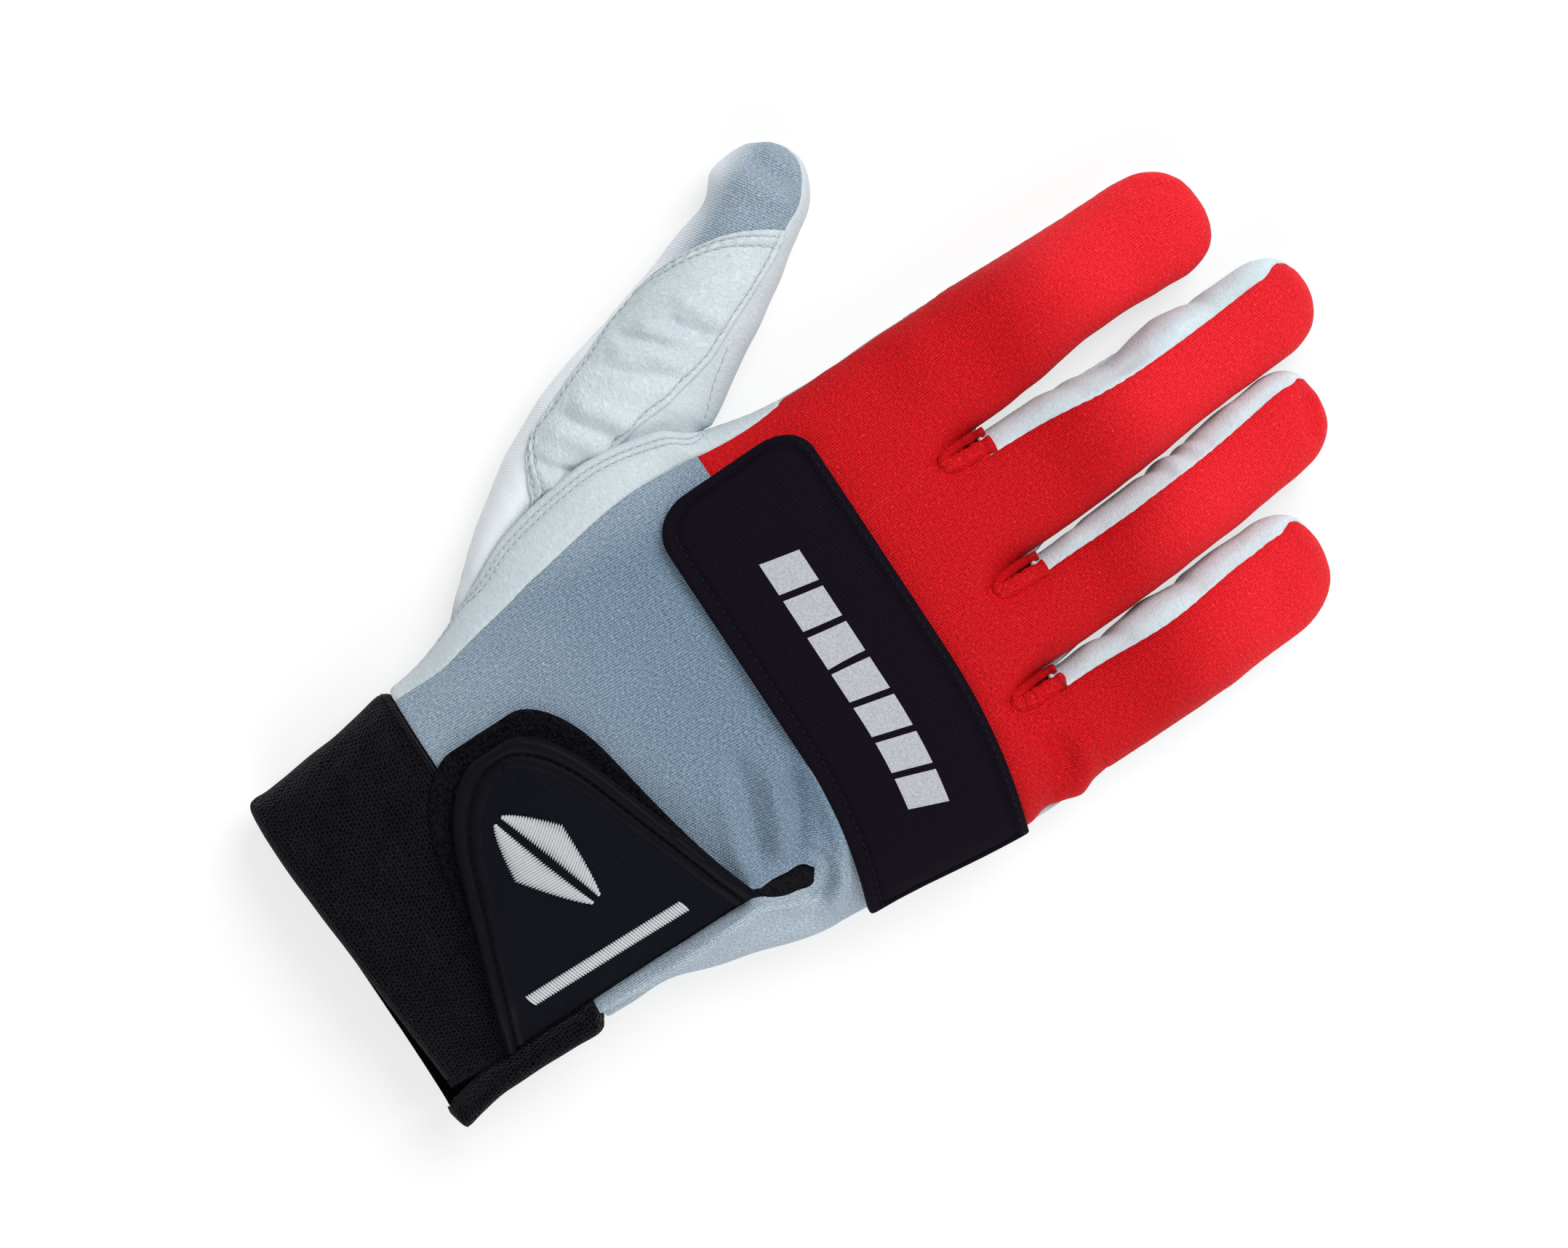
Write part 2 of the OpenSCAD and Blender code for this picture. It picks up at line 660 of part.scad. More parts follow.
// Elastic cuff, from the slit's upper lip round the wrist to its lower lip
module cuff_elastic() {
    color(black)
    sheet(function (u, v, side)
        let (
            y = mix(-wrist_line - cuff_length, -wrist_line - seam_gap, v),
            inset = side * elastic_t - elastic_proud,
            upper = hand_angle(slit_x - slit_width / 2, y, top_power, inset),
            lower = hand_angle(slit_x + slit_width / 2, y, top_power, inset)
        )
        hand_point(mix(lower, upper - full_turn, u), y, inset),
        34, 4);
}

module slit_binding() {
    color(black)
    sheet(function (u, v, side)
        let (
            y = mix(-wrist_line - cuff_length, -tab_start - tab_base - patch_margin - seam_gap, v),
            inset = -elastic_proud - layer_gap - (1 - side) * leather_t,
            left = hand_angle(slit_x - slit_width / 2 - binding_width, y, top_power, inset),
            right = hand_angle(slit_x - slit_width / 2, y, top_power, inset)
        )
        hand_point(mix(left, right, u), y, inset),
        2, 3);
}

// Tongue outline of the closure: finger-side and wrist-side edges at a share s of the way from nose to base
tongue_least = 1.4;
nose_half = 3;
top_swell = 8;
low_swell = 10;
function tongue_half(s) = sqrt(1 - pow(1 - clamp(s * tab_reach / tab_blunt, 0, 1), 2));
function tongue_top(s) = mix(-tab_nose + nose_half, -tab_start, s) + top_swell * tongue_half(s) * (1 - s);
function tongue_low(s) =
    mix(-tab_nose - nose_half, -tab_start - tab_base, s) - low_swell * tongue_half(s) * (1 - s);
// Height of the closure's layers above the hand's section
patch_seat = elastic_proud + layer_gap;
hook_seat = patch_seat + loop_t + layer_gap;
tab_seat = hook_seat + hook_t + layer_gap;

// One layer of the closure: margin moves its outline outwards, negative inwards
module tongue(margin, seat, thick, right) {
    sheet(function (u, v, side)
        let (
            inset = -seat - (1 - side) * thick,
            x = mix(slit_x - tab_reach - margin, right, u),
            s = clamp((x - slit_x + tab_reach + margin) / (tab_reach + margin), 0, 1),
            mid = (tongue_low(s) + tongue_top(s)) / 2,
            half = max(tongue_least, (tongue_top(s) - tongue_low(s)) / 2 + margin),
            y = mid + half * (2 * v - 1)
        )
        back_point(x, y, inset),
        12, 8);
}

module loop_patch() {
    color(black)
    tongue(patch_margin, patch_seat, loop_t, slit_x - slit_width / 2);
}

module hook_pad() {
    color(black)
    tongue(-hook_margin, hook_seat, hook_t, slit_x - slit_width / 2 - hook_margin);
}

module tab_face() {
    color(navy)
    tongue(-piping_d / 2 - layer_gap, tab_seat, tab_t, slit_x);
}

module tab_piping() {
    color(satin)
    cord([for (i = [-10:10])
        let (
            s = pow(abs(i) / 10, 1.6),
            x = slit_x - tab_reach + s * tab_reach,
            y = i < 0 ? tongue_low(s) : tongue_top(s)
        )
        back_point(x, y, -tab_seat - tab_t / 2)], piping_d, 8);
}

// Thumb base and thumb
module thumb_base_back() {
    color(blue_grey)
    sheet(function (u, v, side)
        base_point(mix(base_side - thumb_gap, base_top_edge, u), v * base_last, side * knit_t, seam_gap),
        9, 9);
}

module thumb_base_overlay() {
    color(white_leather)
    sheet(function (u, v, side)
        base_point(mix(thumb_overlay_high, base_overlay_low, u), mix(base_overlay_start, base_last, v),
            -layer_gap - (1 - side) * leather_t, seam_gap),
        8, 8);
}

module thumb_base_front() {
    color(white_leather)
    sheet(function (u, v, side)
        base_point(mix(base_low_edge, base_side + thumb_gap, u), v * base_last, side * leather_t, 0),
        8, 9);
}

module thumb_back() {
    color(blue_grey)
    sheet(function (u, v, side)
        thumb_point(mix(thumb_front_low - thumb_gap, thumb_front_top + thumb_gap, u),
            mix(thumb_first, 1, v), side * knit_t, seam_gap),
        9, 12, true);
}

module thumb_front() {
    color(white_leather)
    sheet(function (u, v, side)
        thumb_point(mix(thumb_front_top - thumb_gap, thumb_front_low + thumb_gap - full_turn, u),
            mix(thumb_first, 1, v), side * leather_t, 0),
        10, 12, true);
}

module thumb_overlay() {
    color(white_leather)
    sheet(function (u, v, side)
        thumb_point(mix(thumb_overlay_high, thumb_overlay_low, u),
            mix(thumb_first, body_share * thumb_overlay_length / (thumb_length - thumb_tip_length), v),
            -layer_gap - (1 - side) * leather_t, seam_gap),
        8, 8);
}

// Finger nodes
module index_back() {
    color(red) finger_back(index, false, true);
}

module index_front() {
    color(white_leather) finger_front(index, false, true);
}

module index_wall() {
    color(white_leather) outer_wall(index);
}

module middle_back() {
    color(red) finger_back(middle, true, true);
}

module middle_front() {
    color(white_leather) finger_front(middle, true, true);
}

module middle_wall_inner() {
    color(white_leather) inner_wall(middle);
}

module middle_wall_outer() {
    color(white_leather) outer_wall(middle);
}

module ring_back() {
    color(red) finger_back(ring, true, true);
}

module ring_front() {
    color(white_leather) finger_front(ring, true, true);
}

module ring_wall_inner() {
    color(white_leather) inner_wall(ring);
}

module ring_wall_outer() {
    color(white_leather) outer_wall(ring);
}

module little_back() {
    color(red) finger_back(little, true, false);
}

module little_front() {
    color(white_leather) finger_front(little, true, false);
}

module little_wall() {
    color(white_leather) inner_wall(little);
}

palm();
radial_strip();
hand_back();
ulnar_panel();
knuckle_panel();
knuckle_band();
crotch_tucks();
cuff_elastic();
slit_binding();
loop_patch();
thumb_base_back();
thumb_base_overlay();
thumb_base_front();
index_back();
index_front();
index_wall();
middle_back();
middle_front();
middle_wall_inner();
middle_wall_outer();
ring_back();
ring_front();
ring_wall_inner();
ring_wall_outer();
little_back();
little_front();
little_wall();
thumb_back();
thumb_overlay();
thumb_front();
tab_face();
tab_piping();
hook_pad();
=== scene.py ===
# Right-hand sports glove lying palm down. Every panel is laid on the same hand, finger and thumb
# shapes as the CAD solids. Shape functions work in millimetres, in the frame's own axes, and are
# scaled to metres when a mesh is made. Angles round a section are in degrees: 0 is the
# little-finger side, 90 the back, 180 the thumb side.
import math

import bmesh
import bpy
import numpy as np
from mathutils import Matrix, Vector


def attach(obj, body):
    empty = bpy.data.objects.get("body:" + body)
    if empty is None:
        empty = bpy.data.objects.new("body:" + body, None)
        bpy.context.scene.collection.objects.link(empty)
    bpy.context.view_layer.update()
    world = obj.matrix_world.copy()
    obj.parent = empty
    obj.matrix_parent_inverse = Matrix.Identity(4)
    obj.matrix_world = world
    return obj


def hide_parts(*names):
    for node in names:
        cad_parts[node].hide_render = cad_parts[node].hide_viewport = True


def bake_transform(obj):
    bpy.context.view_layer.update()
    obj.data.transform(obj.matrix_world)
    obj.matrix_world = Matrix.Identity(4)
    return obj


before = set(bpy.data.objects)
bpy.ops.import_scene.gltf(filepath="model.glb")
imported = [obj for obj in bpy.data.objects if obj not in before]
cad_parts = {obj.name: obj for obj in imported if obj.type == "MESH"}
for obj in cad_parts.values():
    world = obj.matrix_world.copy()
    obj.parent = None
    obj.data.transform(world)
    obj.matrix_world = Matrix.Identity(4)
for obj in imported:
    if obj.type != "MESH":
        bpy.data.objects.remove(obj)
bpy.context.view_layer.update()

MM = 0.001


# General functions
def mix(a, b, t):
    return a + (b - a) * t


def ease(t):
    c = np.clip(t, 0.0, 1.0)
    return c * c * (3 - 2 * c)


def bell(t):
    return np.exp(-t * t)


def bumps(t, rows):
    """Sum of soft bumps, each given as height, place and spread."""
    return sum(height * bell((t - place) / spread) for height, place, spread in rows)


def half_round(t):
    """Height of a half circle of radius 1, at a distance t from its middle."""
    return np.sqrt(np.clip(1 - t**2, 0, 1))


def smooth_at(rows, t, k):
    """Smooth value of column k at position t, through every row."""
    rows = np.array(rows, float)
    pos, val = rows[:, 0], rows[:, k]
    last = len(pos) - 1
    before, after = np.maximum(np.arange(last + 1) - 1, 0), np.minimum(np.arange(last + 1) + 1, last)
    slope = (val[after] - val[before]) / (pos[after] - pos[before])
    c = np.clip(t, pos[0], pos[-1])
    i = np.clip(np.searchsorted(pos, c, side="right") - 1, 0, last - 1)
    step = pos[i + 1] - pos[i]
    f = (c - pos[i]) / step
    return (
        val[i] * (2 * f**3 - 3 * f**2 + 1)
        + slope[i] * step * (f**3 - 2 * f**2 + f)
        + val[i + 1] * (3 * f**2 - 2 * f**3)
        + slope[i + 1] * step * (f**3 - f**2)
    )


def waves(x, y, size, seed):
    """Soft uneven height between about -1 and 1 with lumps of the given size."""
    rng = np.random.default_rng(seed)
    total = 0.0
    for _ in range(7):
        turn, phase = rng.uniform(0, 2 * math.pi, 2)
        k = 2 * math.pi / (size * rng.uniform(0.7, 1.5))
        total = total + np.sin(k * (x * math.cos(turn) + y * math.sin(turn)) + phase)
    return total / 3.2


def fold(x, y, points, height, width):
    """Ridge (or valley, with a negative height) along a line of points, fading out at both ends."""
    pts = np.array(points, float)
    seg = np.linalg.norm(np.diff(pts, axis=0), axis=1)
    start = np.concatenate([[0], np.cumsum(seg)])
    best = np.full(np.shape(x), 1e9)
    place = np.zeros(np.shape(x))
    for i in range(len(seg)):
        d = (pts[i + 1] - pts[i]) / seg[i]
        t = np.clip((x - pts[i, 0]) * d[0] + (y - pts[i, 1]) * d[1], 0, seg[i])
        away = np.hypot(x - pts[i, 0] - d[0] * t, y - pts[i, 1] - d[1] * t)
        near = away < best
        best = np.where(near, away, best)
        place = np.where(near, start[i] + t, place)
    along = place / start[-1]
    taper = np.clip(np.sin(np.pi * np.clip(along, 0.02, 0.98)) * 1.6, 0, 1)
    return height * taper * bell(best / width)


def folds(x, y, rows):
    """Sum of folds, each given as points, height and width."""
    return sum(fold(x, y, points, height, width) for points, height, width in rows)


# Oval sections: powers of the upper and lower curve, share of the depth at which they meet, and
# how far the underside is levelled
TOP_POWER, LOW_POWER = 2.3, 2.8
MID_SHARE, LEVEL_GAIN = 0.44, 1.05


def oval(phi, depth, inset=0.0):
    """Share of the half width, and height above the underside, at an angle round an oval section."""
    a = np.radians(phi)
    c, s = np.cos(a), np.sin(a)
    upper = s >= 0
    power = np.where(upper, TOP_POWER, LOW_POWER)
    reach = np.sign(c) * np.abs(c) ** (2 / power)
    up = np.sign(s) * np.abs(s) ** (2 / power)
    up = np.where(upper, up, np.maximum(-1, LEVEL_GAIN * up))
    mid = depth * MID_SHARE
    return reach, mid + np.where(upper, depth - mid - inset, mid - inset) * up


# Finger stalls: root line, length, left and right sides at the root, lean, taper and turn of the end
STALLS = {
    "index": (58.0, 66.5, -43.0, -14.8, 0.6, 3.0, -0.8),
    "middle": (57.0, 77.0, -13.6, 13.6, 1.2, 5.6, 0.8),
    "ring": (52.0, 71.0, 14.8, 36.0, 3.8, 0.0, 2.0),
    "little": (42.0, 64.3, 37.2, 61.7, 1.4, 0.4, 1.8),
}
FINGER_TIP = 13.0
TIP_ARC = 1.45
ROOT_DEPTH, TIP_DEPTH = 20.5, 15.5
LEAN_POWER = 1.6
# Angles at which the red back, the inner wall and the leather front end
RED_LOW, RED_INNER, WALL_LOW, FRONT_LOW = -6.0, 130.0, 207.0, 330.0
# How round each finger end is, where 1 is a half circle, and how late its red closes over the end
END_ROUND = {"index": 0.82, "middle": 0.84, "ring": 0.72, "little": 0.84}
END_CLOSE = {"index": 19, "middle": 19, "ring": 38, "little": 24}
CLOSING_TURN = 52
# Waist on the side towards the little finger: depth, place, spread
WAIST = {
    "index": (1.7, 90.0, 17.0),
    "middle": (0.0, 90.0, 17.0),
    "ring": (0.0, 84.0, 14.0),
    "little": (-0.9, 75.0, 26.0),
}
# Swell over a finger's middle joint and dip just ahead of the knuckle: height, distance from the root, spread
FINGER_ARCH = ((3.0, 29, 13), (-2.2, 7, 10))


def stall_rows(length, tip, v):
    """Distance from the root without the tip's rounding, and the angle over the tip."""
    body = length - tip
    share = body / (body + TIP_ARC * tip)
    return body * np.clip(v / share, 0, 1), 90 * np.clip((v - share) / (1 - share), 0, 1)


def finger_at(name, phi, v):
    root, length, left, right, lean, taper, turned = STALLS[name]
    body, turn = stall_rows(length, FINGER_TIP, v)
    part = body / (length - FINGER_TIP)
    small = np.cos(np.radians(turn)) ** END_ROUND[name]
    out = np.sin(np.radians(turn)) ** END_ROUND[name]
    half = (right - left - taper * ease(part)) / 2
    depth = mix(ROOT_DEPTH, TIP_DEPTH, ease(part))
    mid = depth * MID_SHARE
    reach, z = oval(phi, depth)
    y = root + body + FINGER_TIP * out
    x = (left + right) / 2 - lean * part**LEAN_POWER - turned * out + half * reach * small
    x = x - bumps(y, [WAIST[name]]) * np.maximum(reach, 0) * small
    back = np.maximum(0, np.sin(np.radians(phi)))
    return x, y, mid + (z - mid + bumps(y - root, FINGER_ARCH) * back) * small


def tip_close(name, v):
    """How far the panels of a finger have closed over its end, from 0 to 1."""
    turn = stall_rows(STALLS[name][1], FINGER_TIP, v)[1]
    return ease((turn - END_CLOSE[name]) / CLOSING_TURN)


# Hand and cuff: position along Y, reach on each side, thickness
HAND_ROWS = [
    [-116, -32.5, 47.5, 21],
    [-77, -37.5, 47, 24],
    [-18, -52, 57, 28.5],
    [22, -43.6, 62.3, 27],
    [58, -43, 61.7, 20.5],
]
CUFF_EDGE, WRIST, PALM_LINE, PANEL_SEAM, KNUCKLE_LINE = -116.0, -77.0, -18.0, 5.0, 22.0
WRIST_RISE = 1.2
# Unevenness of the hand's sides: height, place, spread
LEFT_SWELLS = [(1.0, -67, 8)]
RIGHT_SWELLS = [(1.7, -27, 14), (-2.0, -62, 9)]


def hand_left(y):
    return smooth_at(HAND_ROWS, y, 1) + bumps(y, LEFT_SWELLS)


def hand_right(y):
    return smooth_at(HAND_ROWS, y, 2) + bumps(y, RIGHT_SWELLS)


def hand_depth(y):
    return smooth_at(HAND_ROWS, y, 3)


def hand_low(y):
    return WRIST_RISE * ease((PALM_LINE - y) / (PALM_LINE - WRIST))


def hand_at(phi, y, inset=0.0):
    left, right = hand_left(y), hand_right(y)
    reach, z = oval(phi, hand_depth(y), inset)
    return (left + right) / 2 + ((right - left) / 2 - inset) * reach, y + 0 * phi, hand_low(y) + z


def hand_angle(x, y, power=TOP_POWER, inset=0.0):
    """Angle round the hand's section at which its side-to-side place is x."""
    left, right = hand_left(y), hand_right(y)
    share = np.clip((x - (left + right) / 2) / ((right - left) / 2 - inset), -1, 1)
    return np.degrees(np.arccos(np.sign(share) * np.abs(share) ** (power / 2)))


def back_at(x, y, inset=0.0):
    return hand_at(hand_angle(x, y, TOP_POWER, inset), y, inset)


# Width of the leather strip that shows on the back, along Y, and the angle down to which it goes
# round the edge of the hand beside the thumb base
STRIP_ROWS = [
    [-77, 1.6], [-67, 3.3], [-55, 5.2], [-44, 6.6], [-30, 7.6], [-15, 7.0], [5, 4.0], [17, 1.7], [27, 0],
]
STRIP_LOW = 162.0


def strip_at(y):
    return smooth_at(STRIP_ROWS, y, 1)


def panel_left(y):
    return hand_left(y) + strip_at(y)


# Knuckle zone: the hand's section turns into the four stalls' sections
ZONE = 14.0


def column_list(count):
    """Root, sides, angle and the line by which the stall is formed, for every column over the four stalls."""
    root, left, right, phi, formed = [], [], [], [], []
    stalls = list(STALLS.values())
    for i, f in enumerate(stalls):
        after = stalls[min(i + 1, 3)][0]
        for a in np.linspace(180, 0, count + 1):
            root.append(f[0])
            formed.append(f[0] - max(0, f[0] - after) * ease(math.cos(math.radians(a)) * 1.4 - 0.4))
            left.append(f[2])
            right.append(f[3])
            phi.append(a)
    return np.array(root), np.array(left), np.array(right), np.array(phi), np.array(formed)


def row_share(left, right, phi, power):
    c = np.cos(np.radians(phi))
    x = (left + right) / 2 + (right - left) / 2 * np.sign(c) * np.abs(c) ** (2 / power)
    first, last = STALLS["index"][2], STALLS["little"][3]
    return (x - first) / (last - first)


def knuckle_at(column, y):
    root, left, right, phi, formed = column
    part = ease((y - formed + ZONE) / ZONE)
    edge = mix(panel_left(y), hand_left(y), part)
    x = mix(edge, hand_right(y), row_share(left, right, phi, TOP_POWER))
    reach, own_z = oval(phi, ROOT_DEPTH)
    own_x = (left + right) / 2 + (right - left) / 2 * reach
    back = np.maximum(0, np.sin(np.radians(phi)))
    z = mix(back_at(x, y)[2], own_z + bumps(y - root, FINGER_ARCH) * back, part)
    return mix(x, own_x, part), y, z


def palm_at(column, y):
    """The palm's edge is cut low beside the thumb base."""
    root, left, right, phi, formed = column
    part = ease((y - formed + ZONE) / ZONE)
    share = row_share(left, right, phi, LOW_POWER)
    x = mix(hand_left(y), hand_right(y), share)
    reach, own_z = oval(-phi, ROOT_DEPTH)
    own_x = (left + right) / 2 + (right - left) / 2 * reach
    beside = np.clip((y - PALM_CUT) / (THUMB_CROTCH - PALM_CUT), 0, 1)
    way = np.sqrt(np.maximum(0, np.sin(np.pi * beside)))
    drop = mix(1.0, PALM_DROP, way * ease(1 - share / PALM_DROP_WIDE))
    z = hand_at(-hand_angle(x, y, LOW_POWER), y)[2] * drop
    return mix(x, own_x, part), y, mix(z, own_z, part)


# Thumb and its base: one skin, t being the distance from the root ring, negative in the base
BASE_START, THUMB_CROTCH = -56.0, 11.0
BASE_LENGTH = THUMB_CROTCH - BASE_START
# Start of the palm's low edge beside the base, its height and its width, both as shares
PALM_CUT, PALM_DROP, PALM_DROP_WIDE = BASE_START + 8, 0.36, 0.16
THUMB_BODY, THUMB_TIP = 46.0, 13.2
THUMB_TIP_ARC = TIP_ARC * THUMB_TIP
BASE_DEPTH, RING_DEPTH, THUMB_DEPTH = 13.0, 20.0, 16.0
BASE_TOP_EDGE, BASE_LOW_EDGE = 14.0, 195.0
SPLAY = math.radians(26)
ACROSS = np.array([math.cos(SPLAY), math.sin(SPLAY)])
ALONG = np.array([-math.sin(SPLAY), math.cos(SPLAY)])
RING_RIGHT = np.array([float(hand_left(THUMB_CROTCH)) - 0.3, THUMB_CROTCH])
RING_CENTRE = RING_RIGHT - ACROSS * 15.2
RING_LEFT = RING_RIGHT - ACROSS * 32.2
# Thumb stall: distance from the root ring, middle and width across it
THUMB_ROWS = [[0, -0.9, 32.2], [18, 0.05, 27.3], [35, 0.5, 23.0], [41, 0.25, 21.3], [46, -1.0, 22.5]]


def beside_strip(t):
    """How far the thumb base is drawn up under the leather strip, at a distance t from the root ring."""
    return ease((t + 66) / 18) * (1 - ease((t + 11) / 11))


def thumb_at(phi, t, inset=0.0, lift=0.0):
    v = np.clip(1 + t / BASE_LENGTH, 0, 1)
    start = np.array([float(hand_left(BASE_START)) + 3.4, BASE_START - 5.0])
    near, far = start + [-10.5, 11], RING_LEFT - ALONG * 26 - ACROSS * 6.6
    shares = (1 - v) ** 3, 3 * v * (1 - v) ** 2, 3 * v * v * (1 - v), v**3
    rail = [sum(w * q[i] for w, q in zip(shares, (start, near, far, RING_LEFT))) for i in (0, 1)]
    side_y = mix(BASE_START, THUMB_CROTCH, v)
    side_x = hand_left(side_y) - 0.3 + 3.0 * (1 - ease(v / 0.12))
    depth = mix(BASE_DEPTH, RING_DEPTH, ease(v))
    reach, z = oval(phi, depth, inset)
    half = np.hypot(side_x - rail[0], side_y - rail[1]) / 2
    k = reach * (half - inset) / half
    base_x = (side_x + rail[0]) / 2 + (side_x - rail[0]) / 2 * k
    base_y = (side_y + rail[1]) / 2 + (side_y - rail[1]) / 2 * k
    under_x, _, under_z = hand_at(STRIP_LOW + 0 * side_y, side_y)
    edge_reach, edge_z = oval(BASE_TOP_EDGE + 0 * v, depth)
    edge_x = (side_x + rail[0]) / 2 + (side_x - rail[0]) / 2 * edge_reach
    rise = ease((66 - phi) / 50) * ease((phi + 4) / 16) * beside_strip(t)
    base_x = base_x + (under_x + 1.0 - edge_x) * rise
    z = z + (under_z - 1.9 - edge_z) * rise
    body = np.clip(t, 0, THUMB_BODY)
    turn = np.radians(90 * np.clip((t - THUMB_BODY) / THUMB_TIP_ARC, 0, 1))
    depth = mix(RING_DEPTH, THUMB_DEPTH, body / THUMB_BODY)
    mid = depth * MID_SHARE
    reach, own_z = oval(phi, depth, inset)
    out = body + (THUMB_TIP - inset) * np.sin(turn)
    half = smooth_at(THUMB_ROWS, body, 2) / 2 - inset
    over = smooth_at(THUMB_ROWS, body, 1) + half * reach * np.cos(turn)
    own_x = RING_CENTRE[0] + ALONG[0] * out + ACROSS[0] * over
    own_y = RING_CENTRE[1] + ALONG[1] * out + ACROSS[1] * over
    own_z = mid + (own_z - mid) * np.cos(turn)
    stall = t >= 0
    x, y = np.where(stall, own_x, base_x), np.where(stall, own_y, base_y)
    return x, y, np.where(stall, own_z, z) + lift


# Materials
class Finish:
    """A procedural material; colours are linear."""

    def __init__(self, name, roughness, specular=0.3, sheen=0.0, sheen_tint=(1, 1, 1), sheen_roughness=0.5):
        self.mat = bpy.data.materials.new(name)
        self.mat.use_nodes = True
        self.tree = self.mat.node_tree
        self.shader = self.tree.nodes["Principled BSDF"]
        self.shader.inputs["Roughness"].default_value = roughness
        self.shader.inputs["Specular IOR Level"].default_value = specular
        self.shader.inputs["Sheen Weight"].default_value = sheen
        self.shader.inputs["Sheen Tint"].default_value = (*sheen_tint, 1)
        self.shader.inputs["Sheen Roughness"].default_value = sheen_roughness

    def node(self, kind, **settings):
        n = self.tree.nodes.new(kind)
        for key, value in settings.items():
            setattr(n, key, value)
        return n

    def feed(self, socket, value):
        if isinstance(value, bpy.types.NodeSocket):
            self.tree.links.new(value, socket)
        else:
            socket.default_value = value

    def math(self, operation, a, b=0.0, c=0.0):
        n = self.node("ShaderNodeMath", operation=operation)
        for socket, value in zip(n.inputs, (a, b, c)):
            self.feed(socket, value)
        return n.outputs[0]

    def add(self, a, b):
        return self.math("ADD", a, b)

    def times(self, a, b):
        return self.math("MULTIPLY", a, b)

    def wave(self, a, period):
        """Rounded ridges, from 0 to 1, repeated along a."""
        return self.math("ABSOLUTE", self.math("SINE", self.times(a, math.pi / period)))

    def axes(self, where):
        n = self.node("ShaderNodeSeparateXYZ")
        self.feed(n.inputs[0], where)
        return tuple(n.outputs)

    def cloth(self):
        """Millimetres across and along the panel's own cloth."""
        return self.axes(self.node("ShaderNodeUVMap", uv_map="cloth").outputs[0])[:2]

    def place(self, x, y, z=0.0):
        n = self.node("ShaderNodeCombineXYZ")
        for socket, value in zip(n.inputs, (x, y, z)):
            self.feed(socket, value)
        return n.outputs[0]

    def solid(self):
        """Object position in millimetres."""
        n = self.node("ShaderNodeVectorMath", operation="SCALE")
        self.feed(n.inputs[0], self.node("ShaderNodeTexCoord").outputs["Object"])
        n.inputs["Scale"].default_value = 1 / MM
        return n.outputs[0]

    def noise(self, where, scale, detail=2.0, roughness=0.5):
        n = self.node("ShaderNodeTexNoise")
        self.feed(n.inputs["Vector"], where)
        n.inputs["Scale"].default_value = scale
        n.inputs["Detail"].default_value = detail
        n.inputs["Roughness"].default_value = roughness
        return n.outputs["Fac"]

    def cells(self, where, scale):
        n = self.node("ShaderNodeTexVoronoi", feature="F1")
        self.feed(n.inputs["Vector"], where)
        n.inputs["Scale"].default_value = scale
        return n.outputs["Distance"]

    def between(self, value, low, high, kind="LINEAR"):
        """Value spread so that low becomes 0 and high becomes 1."""
        n = self.node("ShaderNodeMapRange", interpolation_type=kind)
        self.feed(n.inputs["Value"], value)
        n.inputs["From Min"].default_value = low
        n.inputs["From Max"].default_value = high
        return n.outputs["Result"]

    def eased(self, value, low, high):
        """Like between, with a soft start and end."""
        return self.between(value, low, high, "SMOOTHSTEP")

    def blend(self, share, a, b):
        n = self.node("ShaderNodeMix", data_type="RGBA")
        self.feed(n.inputs["Factor"], share)
        for key, value in (("A", a), ("B", b)):
            socket = [s for s in n.inputs if s.name == key and s.type == "RGBA"][0]
            self.feed(socket, value if isinstance(value, bpy.types.NodeSocket) else (*value, 1))
        return [s for s in n.outputs if s.type == "RGBA"][0]

    def finish(self, colour, height, depth, roughness=None):
        """Colour, and relief of the given depth in millimetres."""
        self.feed(self.shader.inputs["Base Color"], colour)
        if roughness is not None:
            self.feed(self.shader.inputs["Roughness"], roughness)
        bump = self.node("ShaderNodeBump")
        bump.inputs["Strength"].default_value = 1.0
        bump.inputs["Distance"].default_value = depth * MM
        self.feed(bump.inputs["Height"], height)
        self.feed(self.shader.inputs["Normal"], bump.outputs[0])
        return self.mat


def stretch_knit(name, lit_colours, slack, slant, sheen):
    """Warp knit: wales of short staggered loops, with bright flecks painted in as glints of the filament.
    The first colours are dark, light and painted glint for a painted lit copy of the knit, slack the same for
    a painted shaded copy."""
    f = Finish(name, 0.62, 0.1, sheen, (0.92, 0.96, 1.0), 0.45)
    u, v = f.cloth()
    line = f.add(u, f.times(v, slant))
    line = f.add(line, f.times(f.noise(f.place(u, v), 0.15, 2), 0.5))
    fleck = f.noise(f.place(u, v), 1.6, 3, 0.8)
    grain = f.noise(f.place(f.times(u, 1.4), v), 1.5, 2, 0.75)
    cloud = f.noise(f.solid(), 0.08, 3)
    odd = f.math("FLOORED_MODULO", f.math("FLOOR", f.times(line, 1 / 0.58)), 2.0)
    loops = f.wave(f.add(v, f.add(f.times(odd, 0.31), f.times(fleck, 0.5))), 0.62)
    stitch = f.times(f.wave(line, 0.58), f.add(f.times(loops, 0.5), 0.5))
    bright = f.between(f.add(f.times(grain, 0.5), f.times(fleck, 0.5)), 0.4, 0.6)
    tone = f.add(f.times(stitch, 0.45), f.times(bright, 0.65))
    # painted glint: the brightest flecks are coloured in as sparkle
    painted_glint = f.between(fleck, 0.62, 0.72)
    # painted lit and shaded copies of the knit's colour
    lit_knit = f.blend(painted_glint, f.blend(tone, *lit_colours[:2]), lit_colours[2])
    shaded_knit = f.blend(painted_glint, f.blend(tone, *slack[:2]), slack[2])
    return f, lit_knit, shaded_knit, cloud, f.add(stitch, f.add(f.times(grain, 0.8), f.times(fleck, 0.7)))


